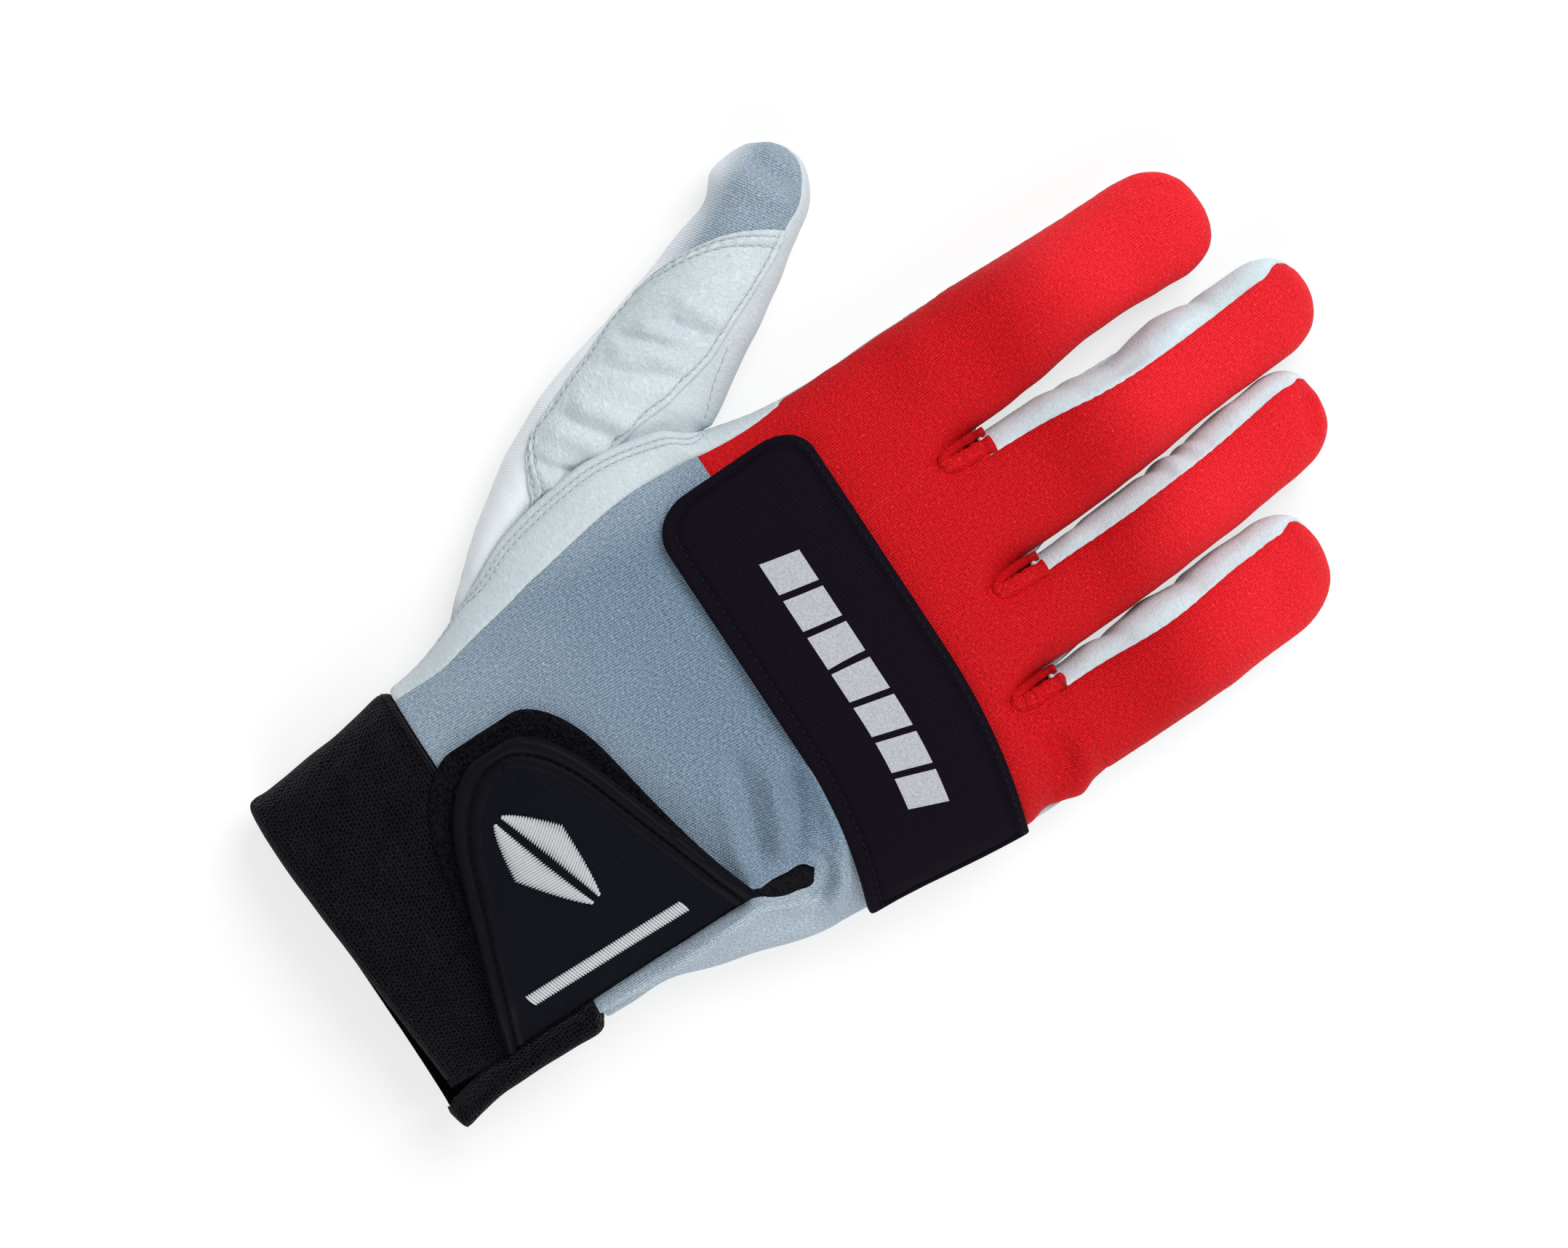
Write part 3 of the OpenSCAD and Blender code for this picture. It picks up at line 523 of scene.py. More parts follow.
def red_knit_finish():
    """Red knit, with painted light: a lit copy over the finger ends and a painted shaded copy towards the
    knuckles.
    """
    f, lit_knit, shaded_knit, cloud, height = stretch_knit(
        "red_knit",
        # painted lit copy, towards the finger ends: dark, light and painted glint colours
        ((0.52, 0.004, 0.008), (1.0, 0.024, 0.037), (1.0, 0.14, 0.16)),
        # painted shaded copy, towards the knuckles: dark, light and painted glint colours
        ((0.25, 0.0008, 0.003), (0.77, 0.007, 0.012), (1.0, 0.06, 0.075)),
        0.06, 0.0,
    )
    # painted light: the knit turns from the shaded copy to the lit copy towards the finger ends, a little
    # sooner on the little-finger side
    x, y, _ = f.axes(f.solid())
    along = f.add(y, f.times(f.math("MAXIMUM", x, 0.0), 0.2))
    share = f.eased(f.add(along, f.times(cloud, 10.0)), 76.0, 105.0)
    return f.finish(f.blend(share, shaded_knit, lit_knit), height, 0.16)


def blue_knit_finish():
    """Blue-grey knit, with painted light: paler round the hand's sides, the wrist and the slit's lip, and a
    painted near-white highlight on the thumb base.
    """
    f, lit_knit, shaded_knit, cloud, height = stretch_knit(
        "blue_knit",
        # painted lit copy, pale: dark, light and painted glint colours
        ((0.2, 0.27, 0.34), (0.55, 0.63, 0.7), (0.85, 0.9, 0.95)),
        # painted shaded copy, used elsewhere: dark, light and painted glint colours
        ((0.05, 0.1, 0.165), (0.255, 0.345, 0.445), (0.56, 0.64, 0.72)),
        -0.05, 0.25,
    )
    x, y, _ = f.axes(f.solid())
    down = f.times(y, -1.0)
    side = f.math("ABSOLUTE", f.add(x, -2.0))
    # painted light: paler towards the hand's sides (less so towards the fingers), towards the wrist and along
    # the slit's lip
    weaker = f.add(f.times(f.eased(y, 15.0, 35.0), -0.32), 0.8)
    side = f.times(f.eased(f.add(side, f.times(cloud, 8.0)), 36.0, 62.0), weaker)
    wrist = f.times(f.eased(f.add(down, f.times(cloud, 14.0)), 22.0, 78.0), 0.4)
    lip = f.times(f.eased(x, 38.0, 45.0), f.eased(down, 14.0, 30.0))
    share = f.math("MAXIMUM", f.math("MAXIMUM", side, wrist), lip)
    colour = f.blend(share, shaded_knit, lit_knit)
    # painted highlight: near white along the thumb base's outer edge, where the bump is also softened
    outward = f.add(f.times(x, -ACROSS[0]), f.times(y, -ACROSS[1]))
    base = f.times(f.eased(outward, 58.0, 65.0), f.math("SUBTRACT", 1.0, f.eased(down, 52.0, 62.0)))
    colour = f.blend(f.times(base, 0.78), colour, (0.87, 0.9, 0.93))
    return f.finish(colour, f.times(height, f.add(f.times(base, -0.7), 1.0)), 0.16)


def white_leather(name, shade, pale, crease_shade, drawn):
    """Thin dressed leather: fine pebble grain, and hair creases drawn across it by the given share, with
    painted shade darkening the grain's pits and the creases.
    """
    f = Finish(name, 0.5, 0.22)
    where = f.solid()
    u, v = f.cloth()
    bent = f.noise(f.place(u, v), 0.3, 2)
    across = f.place(f.times(u, 0.5), f.add(v, f.times(bent, 3.0)))
    pebble = f.cells(where, 1.5)
    fine = f.noise(where, 2.6, 3)
    wrinkle = f.noise(across, 1.15, 2, 0.55)
    line = f.math("ABSOLUTE", f.add(wrinkle, -0.5))
    crack = f.times(f.math("SUBTRACT", 1.0, f.between(line, 0.0, 0.07)), drawn)
    cloud = f.noise(where, 0.045, 2)
    tone = f.add(f.times(fine, 0.35), f.add(f.times(wrinkle, 0.3), f.times(cloud, 0.35)))
    colour = f.blend(f.between(tone, 0.34, 0.66), shade, pale)
    # painted shade: the grain's pits and the hair creases are coloured darker, towards the crease colour
    colour = f.blend(f.times(f.between(pebble, 0.5, 0.9), 0.25), colour, crease_shade)
    colour = f.blend(f.times(crack, 0.14), colour, crease_shade)
    height = f.add(f.times(pebble, -0.25), f.add(f.times(fine, 0.25), f.times(wrinkle, 0.3 + 0.9 * drawn)))
    height = f.add(height, f.times(crack, -0.22))
    rough = f.between(fine, -0.6, 1.9)
    return f.finish(colour, height, 0.2, f.add(f.times(rough, 0.3), 0.36))


def band_jersey_finish():
    """Dull jersey drawn over foam, with fine ribs across the hand."""
    f = Finish("band_jersey", 0.8, 0.06)
    u, v = f.cloth()
    uneven = f.noise(f.place(u, v), 0.4, 2)
    rib = f.wave(f.add(u, f.times(uneven, 0.3)), 0.85)
    knot = f.wave(v, 0.6)
    lint = f.noise(f.place(u, v), 2.1, 3, 0.75)
    tone = f.between(f.add(f.times(rib, 0.4), f.times(lint, 1.5)), 0.45, 1.4)
    colour = f.blend(tone, (0.0016, 0.001, 0.0026), (0.0075, 0.0042, 0.0105))
    colour = f.blend(f.between(lint, 0.66, 0.82), colour, (0.035, 0.028, 0.042))
    return f.finish(colour, f.add(f.times(rib, 0.4), f.add(f.times(knot, 0.3), lint)), 0.16)


def elastic_finish():
    """Knitted elastic: rows of staggered open cells, drawn uneven."""
    f = Finish("cuff_elastic", 0.85, 0.03, 0.1, (0.8, 0.8, 0.88), 0.4)
    u, v = f.cloth()
    u = f.add(u, f.times(f.noise(f.place(u, v), 0.7, 3), 1.5))
    v = f.add(v, f.times(f.noise(f.place(v, u), 0.8, 3), 1.3))
    worn = f.noise(f.place(u, v), 0.12, 3, 0.6)
    shift = f.times(f.math("FLOORED_MODULO", f.math("FLOOR", f.times(v, 1 / 0.85)), 2.0), 0.5)
    pit = f.times(f.wave(f.add(u, shift), 1.0), f.wave(v, 0.85))
    lint = f.noise(f.place(u, v), 1.6, 3, 0.75)
    share = f.between(f.add(f.add(pit, f.times(lint, 1.1)), f.times(worn, 0.7)), 0.7, 1.6)
    colour = f.blend(share, (0.0128, 0.0124, 0.0165), (0.0009, 0.0008, 0.0013))
    colour = f.blend(f.between(lint, 0.6, 0.78), colour, (0.03, 0.029, 0.035))
    return f.finish(colour, f.add(f.times(pit, -1.0), f.times(lint, 0.6)), 0.3)


def twill_finish():
    """Close twill with fine slanting ribs."""
    f = Finish("tab_twill", 0.7, 0.04)
    u, v = f.cloth()
    rib = f.wave(f.add(u, f.times(v, 0.8)), 0.62)
    cross = f.wave(f.add(f.times(u, -0.5), v), 0.5)
    lint = f.noise(f.place(u, v), 1.2, 3, 0.7)
    weave = f.add(f.times(rib, 0.7), f.times(cross, 0.3))
    tone = f.between(f.add(weave, f.times(lint, 0.5)), 0.35, 1.3)
    colour = f.blend(tone, (0.001, 0.0012, 0.0024), (0.0075, 0.0082, 0.0135))
    return f.finish(colour, f.add(weave, f.times(lint, 0.4)), 0.1)


def satin_finish(name, dark, light, period):
    """Smooth bias tape with fine slanting threads."""
    f = Finish(name, 0.48, 0.07)
    where = f.solid()
    x, y, _ = f.axes(where)
    thread = f.wave(f.add(x, f.times(y, 0.7)), period)
    cloud = f.noise(where, 0.25, 3)
    colour = f.blend(f.add(f.times(thread, 0.3), f.times(cloud, 0.7)), dark, light)
    return f.finish(colour, f.add(thread, f.times(cloud, 2.0)), 0.03)


def pile_finish(name, dark, light, scale, depth):
    """Napped or hooked tape: a rough tangle of loops."""
    f = Finish(name, 0.85, 0.06)
    where = f.solid()
    tangle = f.noise(where, scale, 4, 0.75)
    loop = f.cells(where, scale * 0.9)
    colour = f.blend(f.between(f.add(tangle, f.times(loop, -0.4)), 0.15, 0.6), dark, light)
    return f.finish(colour, f.add(tangle, f.times(loop, -0.8)), depth)


def thread_finish(name, dark, light, specular=0.2):
    """Twisted sewing thread."""
    f = Finish(name, 0.6, specular)
    where = f.solid()
    x, y, z = f.axes(where)
    twist = f.wave(f.add(f.add(x, y), f.times(z, 1.6)), 0.28)
    fuzz = f.noise(where, 2.0, 3)
    colour = f.blend(f.add(f.times(twist, 0.5), f.times(fuzz, 0.5)), dark, light)
    return f.finish(colour, twist, 0.06)


RED = red_knit_finish()
BLUE = blue_knit_finish()
# The third colour of each leather is painted shade, put into its grain pits and hair creases.
LEATHER = white_leather("palm_leather", (0.45, 0.515, 0.545), (0.61, 0.675, 0.705), (0.35, 0.42, 0.465), 0.4)
CREASED = white_leather("creased_leather", (0.47, 0.535, 0.565), (0.63, 0.7, 0.725), (0.33, 0.4, 0.445), 1.0)
# painted light: the walls get a brighter, cooler copy of the palm leather, standing in for the light on them
# and offsetting the red light bounced onto them
LIT_WALL_LEATHER = white_leather("lit_walls_leather", (0.5, 0.6, 0.645), (0.66, 0.775, 0.82), (0.42, 0.52, 0.565), 0.1)
JERSEY = band_jersey_finish()
ELASTIC = elastic_finish()
TWILL = twill_finish()
PIPING = satin_finish("satin_piping", (0.0012, 0.0012, 0.0026), (0.0048, 0.0048, 0.0085), 0.5)
LOOP_PILE = pile_finish("loop_pile", (0.001, 0.001, 0.0016), (0.013, 0.0125, 0.018), 1.6, 0.5)
HOOKS = pile_finish("hook_tape", (0.003, 0.003, 0.004), (0.022, 0.022, 0.026), 2.2, 0.6)
PRINT = pile_finish("band_ink", (0.36, 0.375, 0.4), (0.52, 0.54, 0.565), 2.4, 0.05)
WHITE_THREAD = thread_finish("white_thread", (0.42, 0.49, 0.53), (0.62, 0.69, 0.72))
# painted shade: dark grey for the beads that stand in for shaded needle holes
STITCH_HOLE_SHADE = thread_finish("stitch_holes", (0.26, 0.31, 0.345), (0.38, 0.435, 0.475), 0.05)
BAND_THREAD = thread_finish("band_thread", (0.004, 0.0035, 0.006), (0.022, 0.02, 0.026), 0.05)
BLACK_THREAD = thread_finish("black_thread", (0.0015, 0.0015, 0.0022), (0.008, 0.0078, 0.01), 0.03)
GREY_THREAD = thread_finish("grey_thread", (0.42, 0.45, 0.48), (0.68, 0.71, 0.73))
BINDING = pile_finish("slit_binding_tape", (0.0025, 0.0025, 0.0035), (0.016, 0.015, 0.019), 2.0, 0.25)

# Panels
LEATHER_THICK, KNIT_THICK = 0.9, 1.0
FLOOR_CLEAR = 0.02
panels = {}


def spaced(count, length):
    """Shares from 0 to 1 for about count cells, closer at both ends so that cut edges can be rounded."""
    close = np.array([0.22, 0.5, 0.85, 1.4]) / length
    inner = np.linspace(0, 1, count + 1)
    inner = inner[(inner > close[-1] * 1.3) & (inner < 1 - close[-1] * 1.3)]
    return np.concatenate([[0], close, inner, 1 - close[::-1], [1]])


def arc_lengths(points, axis):
    step = np.linalg.norm(np.diff(points, axis=axis), axis=2)
    zero = np.zeros_like(np.take(step, [0], axis=axis))
    return np.concatenate([zero, np.cumsum(step, axis=axis)], axis=axis)


def surface_normals(points, pole):
    n = np.cross(np.gradient(points, axis=1), np.gradient(points, axis=0))
    if pole:
        n[-1] = n[-2].mean(axis=0)
    return n / np.maximum(np.linalg.norm(n, axis=2, keepdims=True), 1e-12)


def keep_piece(obj, nodes=(), body="hand", bend=None):
    """Ties a piece to its body and hides the CAD nodes it stands for; a piece that bends at a joint only has
    its transform baked.
    """
    if bend:
        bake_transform(obj)
    else:
        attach(obj, body)
    if nodes:
        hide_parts(*nodes)


def mesh_object(name, bm, material, smooth_angle=50):
    """Object from a bmesh, smooth apart from edges sharper than the given angle in degrees."""
    bmesh.ops.recalc_face_normals(bm, faces=bm.faces)
    limit = math.radians(smooth_angle)
    for f in bm.faces:
        f.smooth = True
    for e in bm.edges:
        if len(e.link_faces) == 2 and e.calc_face_angle(0.0) > limit:
            e.smooth = False
    mesh = bpy.data.meshes.new(name)
    bm.to_mesh(mesh)
    bm.free()
    mesh.materials.append(material)
    obj = bpy.data.objects.new(name, mesh)
    bpy.context.scene.collection.objects.link(obj)
    return obj


def panel(name, skin, us, vs, thick, material, relief=None, nodes=None, body="hand", bend=None,
          rounded=(0.35, 0.35, 0.35, 0.35), pucker=(0, 0, 0, 0), grooves=(), puffs=(), pole=False,
          measured_from=None, cloth_turn=0.0):
    """One sewn panel: skin(u, v) gives its outside, relief moves it along its normal, and it is thickened
    inwards. It stands for the node of its own name unless nodes are given. rounded and pucker give, for
    the left, right, start and end edges, how far the edge rolls in and dimples; grooves are sunk stitch
    lines as edge, distance inside it and depth, and puffs swell between stitches in the same way.
    measured_from names, for each column, the column that its cloth is measured from, with Y along it;
    cloth_turn lays it askew, in degrees."""
    uu, vv = np.meshgrid(us, vs)
    p = np.stack(np.broadcast_arrays(*skin(uu, vv)), axis=2).astype(float)
    cum_u, cum_v = arc_lengths(p, 1), arc_lengths(p, 0)
    away = (cum_u, cum_u[:, -1:] - cum_u, cum_v, cum_v[-1:] - cum_v)
    run = (cum_v, cum_v, cum_u, cum_u)
    n = surface_normals(p, pole)
    move = np.zeros(uu.shape)
    for k in range(4):
        if k == 3 and pole:
            continue
        move -= rounded[k] * np.clip(1 - away[k] / 0.9, 0, 1) ** 2
        move -= pucker[k] * bell(away[k] / 1.7) * (0.55 + 0.45 * np.cos(2 * np.pi * run[k] / 2.7))
    for k, inside, deep in grooves:
        move -= deep * bell((away[k] - inside) / 0.5)
    for k, inside, high in puffs:
        move += high * bell((away[k] - inside) / 0.9) * (np.abs(np.sin(np.pi * run[k] / 2.6)) - 0.3)
    if relief is not None:
        move = move + relief(p[..., 0], p[..., 1], p[..., 2], uu, vv)
    if pole:
        move[-1] = move[-2].mean()
    p = p + n * move[..., None]
    p[..., 2] = np.maximum(p[..., 2], FLOOR_CLEAR)
    cols, rows = len(us) - 1, len(vs) - 1
    middle = cols // 2
    flat_u, flat_v = arc_lengths(p, 1), arc_lengths(p, 0)
    if measured_from is None:
        flat_u = flat_u - flat_u[:, middle : middle + 1] + p[0, middle, 0]
        flat_v = np.repeat(flat_v[:, middle : middle + 1], cols + 1, axis=1) + p[0, middle, 1]
    else:
        flat_u, flat_v = flat_u - flat_u[:, measured_from] + p[:, measured_from, 0], p[..., 1]
    c, s = math.cos(math.radians(cloth_turn)), math.sin(math.radians(cloth_turn))
    flat_u, flat_v = flat_u * c - flat_v * s, flat_u * s + flat_v * c
    bm = bmesh.new()
    layer = bm.loops.layers.uv.new("cloth")
    spot = bm.verts.layers.int.new("spot")
    bmesh.ops.create_grid(bm, x_segments=cols, y_segments=rows, size=0.5)
    bm.verts.ensure_lookup_table()
    cell = [(round((v.co.x + 0.5) * cols), round((v.co.y + 0.5) * rows)) for v in bm.verts]
    for face in bm.faces:
        for loop in face.loops:
            i, j = cell[loop.vert.index]
            loop[layer].uv = (flat_u[j, i], flat_v[j, i])
    for v, (i, j) in zip(bm.verts, cell):
        v.co = p[j, i] * MM
        v[spot] = j * (cols + 1) + i
    if pole:
        bmesh.ops.remove_doubles(bm, verts=bm.verts, dist=1e-7)
    inside = ((p - n * thick) * MM).reshape(-1, 3)
    for part in bmesh.ops.extrude_face_region(bm, geom=bm.faces[:], use_keep_orig=True)["geom"]:
        if isinstance(part, bmesh.types.BMVert):
            part.co = inside[part[spot]]
    obj = mesh_object(name, bm, material)
    keep_piece(obj, nodes or [name], body, bend)
    panels[name] = {"p": p, "n": surface_normals(p, pole), "us": us, "vs": vs, "away": away}
    return obj


# Lines on panels, for stitches and trims
def at_share(grid, us, vs, u, v):
    i = np.clip(np.searchsorted(us, u, side="right") - 1, 0, len(us) - 2)
    j = np.clip(np.searchsorted(vs, v, side="right") - 1, 0, len(vs) - 2)
    a = ((u - us[i]) / (us[i + 1] - us[i]))[:, None]
    b = ((v - vs[j]) / (vs[j + 1] - vs[j]))[:, None]
    return mix(mix(grid[j, i], grid[j, i + 1], a), mix(grid[j + 1, i], grid[j + 1, i + 1], a), b)


def line_on(name, u, v):
    """Points and normals of a panel along shares u and v."""
    q = panels[name]
    u, v = np.broadcast_arrays(np.asarray(u, float), np.asarray(v, float))
    return at_share(q["p"], q["us"], q["vs"], u, v), at_share(q["n"], q["us"], q["vs"], u, v)


def edge_line(name, edge, inset, start=0.0, stop=1.0, count=160):
    """Line that runs at a fixed distance inside one edge of a panel."""
    q = panels[name]
    t = np.linspace(start, stop, count)
    upright = edge < 2
    away = q["away"][edge] if upright else q["away"][edge].T
    inwards, alongside = (q["us"], q["vs"]) if upright else (q["vs"], q["us"])
    way = 1 if edge % 2 == 0 else -1
    places = [np.interp(inset, row[::way], inwards[::way]) for row in away]
    inner = np.interp(t, alongside, places)
    return line_on(name, inner, t) if upright else line_on(name, t, inner)


def lay_thread(bm, centre, way, side, top):
    """One visible length of thread, as a long bead with the given half sizes."""
    m = Matrix.Translation(centre) @ Matrix((way, side, top)).transposed().to_4x4()
    bmesh.ops.create_uvsphere(bm, u_segments=6, v_segments=5, radius=1.0,
                              matrix=Matrix.Scale(MM, 4) @ m @ Matrix.Rotation(math.pi / 2, 4, "Y"))


def stitch_row(name, line, step, length, radius, material, lift, bend=None, sway=0.0, hole_shade=None):
    """A row of short sunk stitches along a line of points with normals, which sway from side to side by a
    share of their length, with dark sunk beads between them as painted shade of the needle holes when a
    finish is given for them."""
    points, normals = line
    seg = np.linalg.norm(np.diff(points, axis=0), axis=1)
    run = np.concatenate([[0], np.cumsum(seg)])
    count = max(1, int(run[-1] / step))

    def beads(name, first, length, radius, lift, material):
        bm = bmesh.new()
        for k in range(count):
            s = (k + first) * run[-1] / count
            a = np.array([np.interp(s - length / 2, run, points[:, c]) for c in range(3)])
            b = np.array([np.interp(s + length / 2, run, points[:, c]) for c in range(3)])
            up = np.array([np.interp(s, run, normals[:, c]) for c in range(3)])
            way = Vector(b - a).normalized()
            side = Vector(up).cross(way).normalized()
            if sway:
                way = (way + side * sway * (1 if k % 2 else -1)).normalized()
                side = Vector(up).cross(way).normalized()
            centre = Vector((a + b) / 2 + up / np.linalg.norm(up) * lift)
            lay_thread(bm, centre, way * length / 2, side * radius, way.cross(side) * radius)
        keep_piece(mesh_object(name, bm, material, 180), bend=bend)

    beads(name, 0.5, length, radius, lift, material)
    if hole_shade:
        # painted shade: dark beads sunk between the stitches stand in for the shade in the needle holes
        beads(name + "_holes", 1.0, step - length + 0.35, radius * 0.95, lift - radius * 0.75, hole_shade)


def ring_edges(loop):
    return list({e for v in loop for e in v.link_edges if all(w in loop for w in e.verts)})


def tube(bm, points, radius, sides, up=(0, 0, 1), flat=1.0):
    """Round cord along points, in millimetres, closed at both ends; radius may differ from point to point."""
    points = np.array(points, float)
    radius = np.broadcast_to(radius, len(points))
    way = np.gradient(points, axis=0)
    way /= np.linalg.norm(way, axis=1, keepdims=True)
    layer = bm.loops.layers.uv.get("cloth") or bm.loops.layers.uv.new("cloth")
    run = np.concatenate([[0], np.cumsum(np.linalg.norm(np.diff(points, axis=0), axis=1))])
    girth = 2 * math.pi * radius.mean()
    ring = bmesh.ops.create_circle(bm, cap_ends=False, segments=sides, radius=1.0)["verts"]
    shape = [np.array(v.co) for v in ring]
    loop, rings = ring, [ring]
    for _ in range(len(points) - 1):
        made = bmesh.ops.extrude_edge_only(bm, edges=ring_edges(loop))["geom"]
        fresh = {v for v in made if isinstance(v, bmesh.types.BMVert)}
        order = []
        for v in loop:
            order.append([e.other_vert(v) for e in v.link_edges if e.other_vert(v) in fresh][0])
        loop = order
        rings.append(loop)
    for i, loop in enumerate(rings):
        side = np.cross(way[i], np.array(up, float))
        side /= max(np.linalg.norm(side), 1e-9)
        top = np.cross(side, way[i])
        for v, c in zip(loop, shape):
            v.co = (points[i] + radius[i] * (side * c[0] + top * c[1] * flat)) * MM
    spots = {v: (i, k) for i, loop in enumerate(rings) for k, v in enumerate(loop)}
    for face in {face for v in spots for face in v.link_faces}:
        around = [spots[corner.vert][1] for corner in face.loops]
        for corner, k in zip(face.loops, around):
            turn = sides if k == 0 and max(around) == sides - 1 else k
            corner[layer].uv = (girth * turn / sides, run[spots[corner.vert][0]])
    for loop in (rings[0], rings[-1]):
        bmesh.ops.contextual_create(bm, geom=ring_edges(loop))


# Hand: the slit's pocket runs from LENS_START to its blunt end
LENS_START, LENS_END = np.array([40.6, -36.5]), np.array([42.8, -25.0])
SLIT_X, SLIT_BLUNT = 40.0, -25.6


def slit_pucker(x, y):
    """Small folds that run round the blunt end of the slit."""
    way = (LENS_END - LENS_START) / np.linalg.norm(LENS_END - LENS_START)
    past = (x - LENS_END[0]) * way[0] + (y - LENS_END[1]) * way[1]
    away = np.hypot(x - LENS_END[0], y - LENS_END[1])
    return bumps(away, [(0.8, 4.0, 0.9), (-0.4, 5.7, 0.8), (0.35, 7.4, 0.9)]) * ease((past + 2.0) / 2.5)


# Folds of the blue back, most of them round the slit's closed end: points, height, width
BACK_FOLDS = [
    ([(14, -9.5), (28, -11.5), (37, -13.6), (42, -15), (48, -19), (51.5, -23.2), (54, -29.8)], 2.3, 2.3),
    ([(44, -18.5), (47.5, -22), (49.5, -26), (51.5, -32)], -1.3, 1.5),
    ([(20, -14), (32.2, -19.2), (39, -23.8)], -2.0, 1.8),
    ([(18, -18), (30.8, -23.2), (38, -27.5)], 2.3, 2.3),
    ([(12, -22.5), (25.5, -27.3), (32.5, -30), (38, -32.8)], -1.8, 2.2),
    ([(16, -29), (28, -33), (38, -36)], 0.9, 2.4),
    ([(-32, -40), (-28, -60), (-31, -75)], 0.4, 4),
]


def back_relief(x, y, *_):
    """Folds of the blue back and the slack over all of it."""
    slack = 0.25 * waves(x, y, 34, 5) + 0.08 * waves(x, y, 11, 6)
    return slack + slit_pucker(x, y) + folds(x, y, BACK_FOLDS)


def slit_gape(y):
    """Half width of the slit: a narrow gap under the tab, and a blunt pocket beyond its corner."""
    blunt = half_round(np.clip((y - SLIT_BLUNT) / 3.0, 0, 1))
    return 2.5 * ease((y + 38) / 9) * blunt + 0.35 * ease((-36 - y) / 3)


def slit_middle(y):
    return SLIT_X + 2.8 * ease((y + 40) / 13)


def slit_edge(y):
    """Edge of the little-finger side's lip, which comes up over the pocket."""
    return slit_middle(y) + slit_gape(y) * (1 - 0.35 * ease((-24 - y) / 4))


def lip_relief(x, y, z, u, v):
    """The lip is a rolled crest beside the tab, drawn thin towards the cuff, with fine pleats along it."""
    open_part = ease((-23.5 - y) / 5)
    d = x - slit_edge(y)
    wide = mix(2.4, 2.0, ease((-52 - y) / 24))
    tall = mix(1.6, 4.4, ease((-32 - y) / 10))
    roll = tall * bell((d - wide) / (wide * 1.15)) - 0.45 * tall * bell(d / 0.7)
    pleats = 0.32 * np.cos(d * 4.0 + 0.6 * waves(x, y * 0.3, 9, 8)) * bell((d - 1.6) / 2.6)
    pleats = pleats + 0.2 * waves(x, y * 0.4, 5, 9)
    drawn_in = -1.6 * ease((-54 - y) / 20) * ease(d / 4) * (1 - ease((u - 0.5) / 0.35))
    return back_relief(x, y) * (1 - 0.6 * open_part) + open_part * (roll + pleats) + drawn_in


def hand_back_skin(u, v):
    y = mix(WRIST, PANEL_SEAM, v)
    slit = slit_middle(y) - slit_gape(y)
    return hand_at(mix(hand_angle(panel_left(y), y), hand_angle(slit, y), u), y)


def ulnar_skin(u, v):
    y = mix(WRIST, PANEL_SEAM, v)
    return hand_at(mix(hand_angle(slit_edge(y), y), 0, u), y)


# The strip's flap: reach past the hand's edge, crown across it, and its edge's height along Y
FLAP_REACH, FLAP_CROWN = 3.4, 0.7
STRIP_END_LOW, STRIP_PROUD = 183.0, 0.15
FLAP_HEIGHT = [[-66, 13.0], [-47, 15.1], [-35, 16.7], [-20, 18.6], [-9, 18.9], [0, 19.6], [10, 19.4]]


def strip_skin(u, v):
    """The strip covers the edge of the hand and laps over the thumb base."""
    y = mix(WRIST, KNUCKLE_LINE + 4, v)
    out = ease((y + 60) / 22) * (1 - ease((y - 1) / 9))
    low = mix(STRIP_END_LOW, STRIP_LOW, ease((y + 55) / 15) * (1 - ease(y / 11)))
    top = hand_angle(panel_left(y) + 0.5, y)
    x, y, z = hand_at(mix(low, top, u), y)
    top_x, _, top_z = hand_at(top, y)
    lap_x = mix(hand_left(y) - FLAP_REACH, top_x, u)
    lap_z = mix(smooth_at(FLAP_HEIGHT, y, 1), top_z, u) + FLAP_CROWN * np.sin(np.pi * u)
    return mix(x, lap_x, out), y, mix(z, lap_z, out) + STRIP_PROUD


CROTCHES = (("index", "middle"), ("middle", "ring"), ("ring", "little"))


def tuck_place(first, second):
    """Middle and finger-side end of the rolled tuck in a crotch."""
    return STALLS[second][2] + 0.6, min(STALLS[first][0], STALLS[second][0]) - 1.5


# Columns of the palm and knuckle panel over each stall
COLUMN_COUNT = 30
COLUMNS = column_list(COLUMN_COUNT)


def columns_at(u):
    k = np.rint(u * (len(COLUMNS[0]) - 1)).astype(int)
    return [c[k] for c in COLUMNS]


# Share of the rows that run straight across the hand, and the place where they end
LEVEL_ROWS, LEVEL_END = 0.6, 34.0


def rows_to_root(start, root, v):
    """Rows that run straight across the hand and only bend to the roots beyond LEVEL_END."""
    level = mix(start, LEVEL_END, np.clip(v / LEVEL_ROWS, 0, 1))
    return level + (root - LEVEL_END) * np.clip((v - LEVEL_ROWS) / (1 - LEVEL_ROWS), 0, 1)


def knuckle_skin(u, v):
    column = columns_at(u)
    return knuckle_at(column, rows_to_root(PANEL_SEAM, column[0], v))


KNUCKLE_FOLDS = [
    ([(45, 36.5), (55, 34.5), (60, 29), (64, 22)], -1.7, 2.1),
    ([(50, 30), (56, 27.5), (62, 22)], -0.5, 1.6),
    ([(50, 42), (58, 37.5), (65, 31)], 1.2, 2.3),
]


